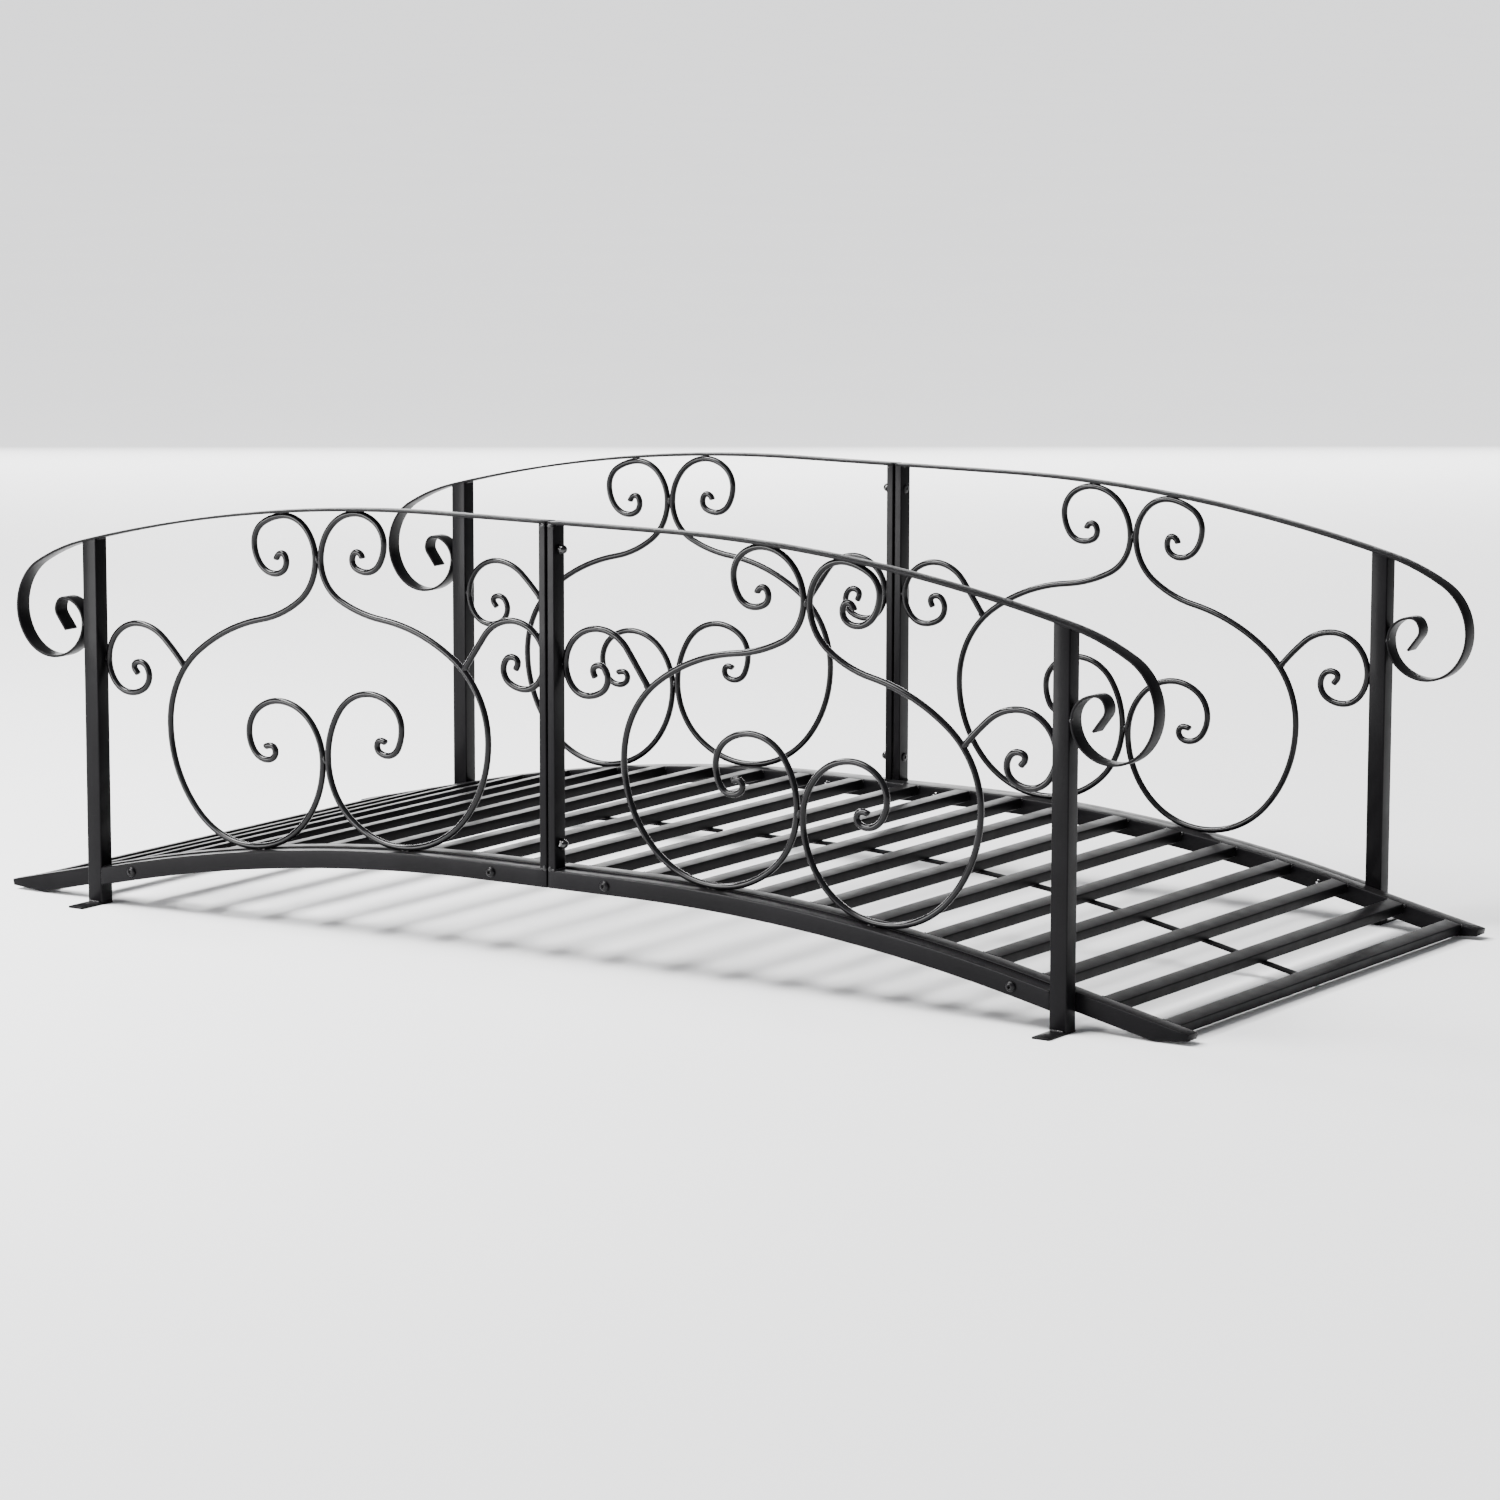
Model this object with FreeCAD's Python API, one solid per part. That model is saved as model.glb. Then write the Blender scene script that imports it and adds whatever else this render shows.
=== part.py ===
"""Arched garden footbridge in square steel tube with scrollwork railings.

Units are millimetres. +X runs along the bridge, +Y across it and +Z up. The
origin is on the ground at the middle of the bridge. Everything is drawn once
for the front right quarter (x > 0, y < 0) and mirrored to the other three.
"""
import FreeCAD, Part
import math
import os

V = FreeCAD.Vector

# ---------------------------------------------------------------- overall
HALF_LENGTH = 806.0          # middle of the bridge to the outer face of an end post
HALF_WIDTH = 452.0           # middle of the walkway to the outer face of a post

# ------------------------------------------------------------------ posts
POST = 25.0                  # square tube, both ways
POST_CORNER = 2.0            # rounding of its long edges
HALF_POST = 11.2             # each of the two centre posts, along X
HALF_POST_CORNER = 1.5
JOINT_GAP = 3.0              # between the two halves of the bridge at the middle

# -------------------------------------------------------------- lower bar
BAR = 25.0                   # square tube of the lower bars and height of the deck bars
BAR_CORNER = 2.0
BAR_CROWN = 105.8            # underside of the lower bar at the middle
BAR_FLAT = 118.0             # straight run each side of the middle
BAR_FALL = 68.6              # from there one bend falls this far, then runs on straight
TIP_START = 64.0             # end of the bend, before the outer face of the end post

# --------------------------------------------------------------- top rail
RAIL_THICK = 3.5
RAIL_CROWN = 602.0           # top of the rail at the middle
RAIL_FLAT = 180.0            # straight run each side of the middle
RAIL_FALL = 78.8             # from there one bend falls this far at the end post
VOLUTE_REACH = 124.0         # end post to the outermost point of the volute
VOLUTE_WAIST = 104.0         # rail end down to the outermost point
VOLUTE_DROP = 69.0           # outermost point down to the lowest point
VOLUTE_FOOT = 59.0           # end post to the lowest point
VOLUTE_RISE = 54.0           # lowest point up to where the volute meets the post
HOOK_RISE = 35.0             # from there up to the top of the inner hook
HOOK_IN = 37.0               # post to the top of the hook
HOOK_OUT = 53.0              # post to the outer side of the hook
HOOK_FALL = 19.0             # top of the hook down to its outer side
HOOK_TURN = 10.5             # last bend of the hook, down to its straight cut end
HOOK_TURN_ANGLE = -110.0
HOOK_TAIL = 24.5
HOOK_TAIL_ANGLE = -127.0

# ----------------------------------------------------------------- scrolls
ROD = 9.0                    # round bar
WELD_GAP = 0.2               # left between pieces that are welded together
TOUCH_TOP = 0.504            # where a pair of scrolls meets, as a share of the clear span
TOUCH_LOW = 0.492

# -------------------------------------------------------------------- deck
DECK_BAR = 25.0              # width of the deck's side bars
DECK_LIFT = 2.5              # deck bars above the lower bars beside them
SEAM = 0.3                   # between the deck and the railings it is bolted to
TOE_CLEAR = 1.5              # lowest point of the deck above the ground
TOE_LENGTH = 50.0            # from that point to the tip of the deck
TOE_RISE = 5.0               # upward cut under the tip, in degrees
SLAT_WIDE = 25.0
SLAT_HIGH = 15.0
SLAT_CORNER = 1.5
SLATS_PER_HALF = 11
FIRST_SLAT = 48.0            # middle of the bridge to the first slat's middle
TIP_TO_SLAT = 32.0           # tip of the deck to the last slat's middle
STRINGER_WIDE = 12.0
STRINGER_HIGH = 4.0
STRINGER_START = 20.0

# -------------------------------------------------------------------- feet
TAB_THICK = 3.0
TAB_REACH = 43.0             # beyond the post's outer face

# ------------------------------------------------------------ worked out
INNER_FACE = HALF_WIDTH - POST
POST_INNER_X = HALF_LENGTH - POST
CENTRE_FACE_X = JOINT_GAP / 2 + HALF_POST
ROD_Y = -(INNER_FACE + ROD / 2)
REACH = ROD / 2 + WELD_GAP / 2
CLEAR_SPAN = POST_INNER_X - CENTRE_FACE_X
TIP_BEGIN = HALF_LENGTH - TIP_START


def bend_radius(run, fall):
    """Radius of a bend that starts level and falls by `fall` over `run`."""
    return (run * run + fall * fall) / (2 * fall)


BAR_RADIUS = bend_radius(TIP_BEGIN - BAR_FLAT, BAR_FALL)
RAIL_RADIUS = bend_radius(HALF_LENGTH - RAIL_FLAT, RAIL_FALL)
TIP_SLOPE = (TIP_BEGIN - BAR_FLAT) / (BAR_RADIUS - BAR_FALL)
TOE_X = TIP_BEGIN + (BAR_CROWN - BAR_FALL + DECK_LIFT - TOE_CLEAR) / TIP_SLOPE
DECK_END = TOE_X + TOE_LENGTH
LAST_SLAT = DECK_END - TIP_TO_SLAT


# ------------------------------------------------------------ the two arcs
def arch_drop(x, flat, radius):
    """Fall of an arch below its crown: level to `flat`, then a circular bend."""
    run = max(0.0, abs(x) - flat)
    return radius - math.sqrt(radius * radius - run * run)


def arch_angle(x, flat, radius):
    """Downward slope of an arch at x, in degrees."""
    return math.degrees(math.asin(max(0.0, abs(x) - flat) / radius))


def bar_under(x):
    """Underside of the lower bar and of the deck bars, which run on straight."""
    if x <= TIP_BEGIN:
        return BAR_CROWN - arch_drop(x, BAR_FLAT, BAR_RADIUS)
    return BAR_CROWN - BAR_FALL - TIP_SLOPE * (x - TIP_BEGIN)


def bar_angle(x):
    return arch_angle(min(x, TIP_BEGIN), BAR_FLAT, BAR_RADIUS)


def bar_top(x):
    return bar_under(x) + BAR / math.cos(math.radians(bar_angle(x)))


def rail_top(x):
    return RAIL_CROWN - arch_drop(x, RAIL_FLAT, RAIL_RADIUS)


def rail_angle(x):
    return arch_angle(x, RAIL_FLAT, RAIL_RADIUS)


def rail_under(x):
    return rail_top(x) - RAIL_THICK / math.cos(math.radians(rail_angle(x)))


# -------------------------------------------------------- bent-bar geometry
def direction(degrees):
    return V(math.cos(math.radians(degrees)), 0, math.sin(math.radians(degrees)))


def normal(degrees):
    return direction(degrees + 90)


def arc_between(start, heading, end):
    """One arc from start, leaving at heading, to end: (points, headings)."""
    chord = end - start
    bearing = math.degrees(math.atan2(chord.z, chord.x))
    half_turn = (bearing - heading + 180) % 360 - 180
    leave = heading + 2 * half_turn
    sag = chord.Length / 2 * math.tan(math.radians(half_turn) / 2)
    middle = (start + end) * 0.5 - normal(bearing) * sag
    return (start, middle, end), (heading, bearing, leave)


def biarc(start, heading, end, end_heading):
    """Two tangent arcs that join two points with a heading at each."""
    t0, t1 = direction(heading), direction(end_heading)
    gap = end - start
    both = t0 + t1
    a = 2 * (1 - t0.dot(t1))
    b = gap.dot(both)
    if a < 1e-9:
        reach = gap.dot(gap) / (4 * gap.dot(t1))
    else:
        reach = (-b + math.sqrt(b * b + a * gap.dot(gap))) / a
    join = (start + end + (t0 - t1) * reach) * 0.5
    first = arc_between(start, heading, join)
    second = arc_between(join, first[1][2], end)
    return [first, second]


def bend(stations):
    """A chain of tangent arcs through (x, z, heading) stations."""
    pieces = []
    for (x0, z0, h0), (x1, z1, h1) in zip(stations, stations[1:]):
        pieces += biarc(V(x0, 0, z0), h0, V(x1, 0, z1), h1)
    return pieces


def edge_of(points):
    start, middle, end = points
    if (middle - start).cross(end - middle).Length < 1e-6:
        return Part.LineSegment(start, end).toShape()
    return Part.Arc(start, middle, end).toShape()


def centre_line(pieces, y):
    wire = Part.Wire([edge_of(points) for points, _ in pieces])
    wire.translate(V(0, y, 0))
    return wire


def round_bar(pieces, y):
    """Round bar bent along the pieces, with its centre line in the plane y."""
    wire = centre_line(pieces, y)
    start = pieces[0][0][0] + V(0, y, 0)
    section = Part.Wire(Part.makeCircle(ROD / 2, start, direction(pieces[0][1][0])))
    return wire.makePipeShell([section], True, False)


def flat_bar(pieces, side_a, side_b, y0, y1):
    """Flat bar along the pieces, from side_a to side_b of the line and y0 to y1."""
    def side(distance):
        return [[p + normal(h) * distance for p, h in zip(points, headings)]
                for points, headings in pieces]
    over, under = side(side_a), side(side_b)
    edges = [edge_of(points) for points in over]
    edges.append(Part.LineSegment(over[-1][2], under[-1][2]).toShape())
    edges += [edge_of(points[::-1]) for points in reversed(under)]
    edges.append(Part.LineSegment(under[0][0], over[0][0]).toShape())
    face = Part.Face(Part.Wire(edges))
    face.translate(V(0, y0, 0))
    return face.extrude(V(0, y1 - y0, 0))


def upright(x0, x1, y0, y1, z0, corner):
    """Square tube standing at z0, cut to the curve of the rail above it."""
    tube = Part.makeBox(x1 - x0, y1 - y0, RAIL_CROWN - z0, V(x0, y0, z0))
    long_edges = [e for e in tube.Edges if abs(e.tangentAt(0).z) > 0.9]
    tube = tube.makeFillet(corner, long_edges)
    return only_solid(tube.common(below_rail(y0, y1)))


def below_rail(y0, y1):
    """Everything under the rail's underside, across and a little beyond y0 to y1."""
    underside = [edge_of([p + normal(h) * -RAIL_THICK for p, h in zip(points, headings)])
                 for points, headings in rail_line(HALF_LENGTH + POST)]
    first = underside[0].valueAt(underside[0].FirstParameter)
    last = underside[-1].valueAt(underside[-1].LastParameter)
    sides = Part.makePolygon([last, V(last.x, 0, -POST), V(first.x, 0, -POST), first])
    region = Part.Face(Part.Wire(underside + sides.Edges))
    region.translate(V(0, y0 - POST, 0))
    return region.extrude(V(0, y1 - y0 + 2 * POST, 0))


def only_solid(shape):
    """The one solid of a cut or trimmed shape."""
    solids = shape.Solids
    if len(solids) != 1:
        raise ValueError("expected one solid, found %d" % len(solids))
    return solids[0]


def rounded_prism(face_solid, corner):
    """Rounds the long edges of a bar drawn in XZ and drawn out along Y."""
    faces = [f for f in face_solid.Faces if abs(f.normalAt(0, 0).y) > 0.99]
    rims = [e for f in faces for e in f.Edges
            if abs(e.tangentAt(e.FirstParameter).x) > 0.8]
    return face_solid.makeFillet(corner, rims)


# --------------------------------------------------------------- the pieces
def rail_line(x_end):
    """Top of the rail from the middle joint out to x_end."""
    flat_end = (RAIL_FLAT, RAIL_CROWN, 0)
    end = (x_end, rail_top(x_end), -rail_angle(x_end))
    return bend([(JOINT_GAP / 2, RAIL_CROWN, 0), flat_end, end])


def volute_stations():
    """The rail's end beyond the post, along its outer surface."""
    x, z = HALF_LENGTH, rail_top(HALF_LENGTH)
    waist = z - VOLUTE_WAIST
    foot = waist - VOLUTE_DROP
    kiss = foot + VOLUTE_RISE
    return [(x, z, -rail_angle(x)),
            (x + VOLUTE_REACH, waist, -90),
            (x + VOLUTE_FOOT, foot, 180),
            (x + WELD_GAP, kiss, 90),
            (x + HOOK_IN, kiss + HOOK_RISE, 0),
            (x + HOOK_OUT, kiss + HOOK_RISE - HOOK_FALL, -90)]


def top_rail():
    stations = volute_stations()
    pieces = rail_line(HALF_LENGTH) + bend(stations)
    end = pieces[-1][0][2]
    tail_heading = HOOK_TAIL_ANGLE
    turn_in = end + direction(HOOK_TURN_ANGLE) * HOOK_TURN
    pieces += biarc(end, -90, turn_in, tail_heading)
    tail_end = turn_in + direction(tail_heading) * HOOK_TAIL
    tail = ((turn_in, (turn_in + tail_end) * 0.5, tail_end), (tail_heading,) * 3)
    pieces.append(tail)
    return flat_bar(pieces, 0, -RAIL_THICK, -HALF_WIDTH, -INNER_FACE)


def end_post():
    return upright(POST_INNER_X, HALF_LENGTH, -HALF_WIDTH, -INNER_FACE, TAB_THICK, POST_CORNER)


def centre_post():
    """Half of the post at the middle; it stands on the lower bar."""
    return upright(JOINT_GAP / 2, CENTRE_FACE_X, -HALF_WIDTH, -INNER_FACE, BAR_CROWN + BAR,
                   HALF_POST_CORNER)


def foot_tab():
    return Part.makeBox(POST, POST + TAB_REACH, TAB_THICK,
                        V(POST_INNER_X, -HALF_WIDTH - TAB_REACH, 0))


def bar_line(x0, x1):
    """Underside of a bar from x0 to x1: level, one long bend, then straight."""
    heading = -bar_angle(TIP_BEGIN)
    pieces = bend([(x0, BAR_CROWN, 0), (BAR_FLAT, BAR_CROWN, 0),
                   (TIP_BEGIN, bar_under(TIP_BEGIN), heading)])
    a = V(TIP_BEGIN, 0, bar_under(TIP_BEGIN))
    b = V(x1, 0, bar_under(x1))
    pieces.append(((a, (a + b) * 0.5, b), (heading,) * 3))
    return pieces


def lower_bar():
    line = bar_line(JOINT_GAP / 2, POST_INNER_X + BAR)
    bar = flat_bar(line, BAR, 0, -HALF_WIDTH, -INNER_FACE)
    before_post = Part.makeBox(POST_INNER_X, POST * 2, RAIL_CROWN,
                               V(0, -HALF_WIDTH - POST / 2, 0))
    return rounded_prism(only_solid(bar.common(before_post)), BAR_CORNER)


def deck_bar():
    line = bar_line(JOINT_GAP / 2, DECK_END)
    outer = -(INNER_FACE - SEAM)
    bar = rounded_prism(flat_bar(line, BAR, 0, outer, outer + DECK_BAR), BAR_CORNER)
    bar.translate(V(0, 0, DECK_LIFT))
    far_x = DECK_END + BAR
    far_z = TOE_CLEAR + (far_x - TOE_X) * math.tan(math.radians(TOE_RISE))
    below = Part.Face(Part.makePolygon([
        V(TOE_X, 0, TOE_CLEAR), V(far_x, 0, far_z), V(far_x, 0, -BAR),
        V(TOE_X, 0, -BAR), V(TOE_X, 0, TOE_CLEAR)]))
    below.translate(V(0, outer - POST, 0))
    return only_solid(bar.cut(below.extrude(V(0, POST * 3, 0))))


def slat(x):
    half = INNER_FACE - SEAM - DECK_BAR - WELD_GAP
    block = Part.makeBox(SLAT_WIDE, 2 * half, SLAT_HIGH, V(-SLAT_WIDE / 2, -half, -SLAT_HIGH))
    block = block.makeFillet(SLAT_CORNER, [e for e in block.Edges if abs(e.tangentAt(0).y) > 0.9])
    block.rotate(V(0, 0, 0), V(0, 1, 0), bar_angle(x))
    block.translate(V(x, 0, bar_top(x) + DECK_LIFT))
    return block


def slats():
    pitch = (LAST_SLAT - FIRST_SLAT) / (SLATS_PER_HALF - 1)
    return Part.makeCompound([slat(FIRST_SLAT + pitch * i) for i in range(SLATS_PER_HALF)])


def stringer():
    line = bar_line(STRINGER_START, LAST_SLAT - SLAT_WIDE / 2)
    top = BAR - SLAT_HIGH - WELD_GAP
    bar = flat_bar(line, top, top - STRINGER_HIGH, -STRINGER_WIDE / 2, STRINGER_WIDE / 2)
    bar.translate(V(0, 0, DECK_LIFT))
    return bar


# --------------------------------------------------------------- scrollwork
def across(share):
    return CENTRE_FACE_X + share * CLEAR_SPAN


def up(x, share):
    """Height at x, as a share of the clear height between the bar and the rail."""
    return bar_top(x) + share * (rail_under(x) - bar_top(x))


def free(across_share, up_share, heading):
    x = across(across_share)
    return (x, up(x, up_share), heading)


def under_rail(x, going_out):
    """Station where a scroll runs along the underside of the rail."""
    slope = rail_angle(x)
    z = rail_under(x) - REACH / math.cos(math.radians(slope))
    return (x, z, -slope if going_out else 180 - slope)


def on_bar(x, going_out):
    """Station where a scroll runs along the top of the lower bar."""
    slope = bar_angle(x)
    z = bar_top(x) + REACH / math.cos(math.radians(slope))
    return (x, z, -slope if going_out else 180 - slope)


def main_scroll(inward):
    """One long bar of the pair: small scroll, sweep, large lobe, inner scroll."""
    side = -1 if inward else 1
    top_x = across(TOUCH_TOP) + side * REACH
    low_x = across(TOUCH_LOW) + side * REACH
    if inward:
        return bend([
            free(0.404, 0.858, 80), free(0.416, 0.877, 0), free(0.427, 0.854, -90),
            free(0.397, 0.818, 180), free(0.356, 0.900, 90), under_rail(across(0.420), True),
            (top_x, up(top_x, 0.855), -90), free(0.361, 0.680, 186),
            free(0.129, 0.341, 270), on_bar(across(0.313), True),
            (low_x, up(low_x, 0.271), 90), free(0.390, 0.460, 180), free(0.320, 0.359, 270),
            free(0.353, 0.280, 0), free(0.375, 0.308, 90), free(0.366, 0.324, 180),
            free(0.355, 0.317, 220)])
    return bend([
        free(0.599, 0.861, 100), free(0.586, 0.879, 180), free(0.576, 0.852, 270),
        free(0.603, 0.820, 0), free(0.649, 0.918, 90), under_rail(across(0.584), False),
        (top_x, up(top_x, 0.856), 270), free(0.634, 0.688, -12),
        free(0.850, 0.407, -90), on_bar(across(0.641), False),
        (low_x, up(low_x, 0.255), 90), free(0.595, 0.442, 0), free(0.666, 0.357, -90),
        free(0.626, 0.269, 180), free(0.606, 0.291, 90), free(0.616, 0.310, 0),
        free(0.630, 0.307, -40)])


def branch_scroll(inward, main):
    """Small scroll that leaves the main bar's lobe and touches the post beside it."""
    leave_x = across(0.175 if inward else 0.820)
    leave_z = up(leave_x, 0.560 if inward else 0.577)
    lobe = centre_line(main, 0)
    on_main = lobe.distToShape(Part.Vertex(leave_x, 0, leave_z))[1][0][0]
    if inward:
        post_x = CENTRE_FACE_X + REACH
        line = bend([
            (on_main.x, on_main.z, 125), free(0.075, 0.706, 180),
            (post_x, up(post_x, 0.598), 270), free(0.051, 0.510, 0), free(0.095, 0.564, 90),
            free(0.077, 0.601, 180), free(0.064, 0.585, 270), free(0.069, 0.564, -60)])
    else:
        post_x = POST_INNER_X - REACH
        line = bend([
            (on_main.x, on_main.z, 50), free(0.923, 0.721, 0),
            (post_x, up(post_x, 0.632), -90), free(0.943, 0.517, 180),
            free(0.899, 0.557, 90), free(0.920, 0.604, 0), free(0.934, 0.595, -90),
            free(0.925, 0.568, -125)])
    return only_solid(round_bar(line, ROD_Y).cut(lobe_side(lobe, on_main)))


def lobe_side(lobe, point):
    """Block that stands for the lobe where a branch is welded flat against it."""
    near = min(lobe.Edges, key=lambda e: e.distToShape(Part.Vertex(point))[0])
    outward = point - near.Curve.Center
    outward.normalize()
    block = Part.makeBox(ROD * 2, ROD * 2, ROD * 2, V(-ROD, -ROD, -ROD * 2 + REACH))
    block.Placement = FreeCAD.Placement(point + V(0, ROD_Y, 0),
                                        FreeCAD.Rotation(V(0, 0, 1), outward))
    return block


def quarter_pieces():
    """Every piece of the front right quarter, by name."""
    inner, outer = main_scroll(True), main_scroll(False)
    branches = [branch_scroll(True, inner), branch_scroll(False, outer)]
    return {
        "end_post": end_post(),
        "foot_tab": foot_tab(),
        "centre_post": centre_post(),
        "lower_bar": lower_bar(),
        "top_rail": top_rail(),
        "scroll_inner": round_bar(inner, ROD_Y),
        "scroll_outer": round_bar(outer, ROD_Y),
        "branch_scrolls": Part.makeCompound(branches),
        "deck_bar": deck_bar(),
    }


def write(name, shape):
    shape.exportStep("parts/%s.step" % name)


def main():
    os.makedirs("parts", exist_ok=True)
    origin, across_y, along_x = V(0, 0, 0), V(0, 1, 0), V(1, 0, 0)
    for name, piece in quarter_pieces().items():
        for end, end_shape in (("right", piece), ("left", piece.mirror(origin, along_x))):
            write("%s_front_%s" % (name, end), end_shape)
            write("%s_back_%s" % (name, end), end_shape.mirror(origin, across_y))
    for name, piece in (("slats", slats()), ("deck_stringer", stringer())):
        write(name + "_right", piece)
        write(name + "_left", piece.mirror(origin, along_x))


main()
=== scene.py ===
"""Looks of an arched garden footbridge in black powder coated steel.

Lengths are metres. +X runs along the bridge, +Y across it and +Z up, with the
origin on the ground at the middle. Each quarter is drawn at x > 0, y < 0 and
mirrored to the other three.
"""
import logging
import math
from dataclasses import dataclass, field
from enum import Enum
from typing import Sequence

import bmesh
import bpy
from mathutils import Matrix, Vector


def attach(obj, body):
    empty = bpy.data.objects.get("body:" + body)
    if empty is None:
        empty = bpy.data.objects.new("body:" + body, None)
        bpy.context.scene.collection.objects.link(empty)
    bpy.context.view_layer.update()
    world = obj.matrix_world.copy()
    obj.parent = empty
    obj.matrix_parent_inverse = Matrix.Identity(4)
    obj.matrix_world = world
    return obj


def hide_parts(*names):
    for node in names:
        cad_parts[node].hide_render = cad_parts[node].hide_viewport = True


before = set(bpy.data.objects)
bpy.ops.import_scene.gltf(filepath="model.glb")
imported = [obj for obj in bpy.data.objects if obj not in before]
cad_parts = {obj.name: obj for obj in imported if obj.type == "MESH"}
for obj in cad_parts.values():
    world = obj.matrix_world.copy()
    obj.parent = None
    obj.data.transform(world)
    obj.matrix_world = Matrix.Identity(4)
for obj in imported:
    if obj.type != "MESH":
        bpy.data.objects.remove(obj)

log = logging.getLogger("footbridge")
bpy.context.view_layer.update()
BODY = "root"

SMOOTH_ANGLE = 50.0          # edges sharper than this stay sharp, in degrees
TURNED_ANGLE = 28.0          # the same on turned pieces
TUBE_EASE = 0.0004           # rounding of a tube's cut ends
TIP_EASE = 0.0005            # rounding of the deck's cut tips
STRIP_EASE = 0.0003          # rounding of the cut ends of flat bar
STRIP_ANGLE = 60.0
CUT_CLEAR = 0.0001           # a cut end stands this far from its neighbour
FLAT_BAR_STEPS = 3           # segments of a flat bar's corner

Triple = tuple[float, float, float]
Colour = tuple[float, float, float, float]
Arc = tuple[Vector, float, float, float]


# ------------------------------------------------------------------ choices
class Quarter(Enum):
    """A quarter of the bridge, as the signs of its X and Y."""

    FRONT_RIGHT = (1, 1)
    FRONT_LEFT = (-1, 1)
    BACK_RIGHT = (1, -1)
    BACK_LEFT = (-1, -1)

    @property
    def tag(self) -> str:
        """The quarter's name as it ends the names of its pieces."""
        return self.name.lower()

    @property
    def matrix(self) -> Matrix:
        """Mirror that takes the front right quarter to this one."""
        return Matrix.Diagonal((self.value[0], self.value[1], 1.0, 1.0))

    @property
    def mirrored(self) -> bool:
        """Whether the mirror turns a mesh inside out."""
        return self.value[0] * self.value[1] < 0


class Slot(Enum):
    """Material slots of the record."""

    TUBE = "tube"
    RAIL = "rail"
    ROD = "rod"
    DECK = "deck"


class Tack(Enum):
    """Half sizes along X, Y and Z of each kind of tack weld."""

    BAR_INNER = (0.0055, 0.0032, 0.0022)
    BAR_OUTER = (0.0050, 0.0032, 0.0020)
    RAIL = (0.0062, 0.0034, 0.0020)
    TOUCH_FRONT = (0.0030, 0.0026, 0.0058)
    TOUCH_BACK = (0.0028, 0.0024, 0.0052)
    BRANCH = (0.0046, 0.0040, 0.0042)
    JOINT_LOW = (0.0030, 0.0014, 0.0042)
    JOINT_TOP = (0.0056, 0.0014, 0.0030)
    POST = (0.0018, 0.0034, 0.0052)
    VOLUTE = (0.0026, 0.0030, 0.0048)
    SLAT = (0.0020, 0.0017, 0.0026)


class Grain(Enum):
    """Noise patterns of the finishes, as features a metre and octaves."""

    MOTTLE = (7.0, 4.0)
    SCUFF = (1.0, 5.0)
    PEEL = (620.0, 2.0)
    SHEEN = (34.0, 3.0)
    SPARKLE = (1500.0, 1.0)
    CLOUD = (1.5, 3.0)


# ----------------------------------------------------------------- finishes
SCUFF_STRETCH = (30.0, 30.0, 240.0)
COAT_ROUGHNESS = 0.14
PEEL_STRENGTH = 0.6
# Pale tint painted on faces that look up: painted top light, standing in for the overhead light
# that they reflect.
PAINTED_TOP_LIGHT_COLOUR = (0.11, 0.105, 0.10, 1.0)
PAINTED_TOP_LIGHT_SLOPE = 0.55            # faces that look up less than this get no painted top light
SHEEN_RANGE = (0.30, 0.70)
UNDERCOAT = 0.80             # gain of the darkest parts of the coat


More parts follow.
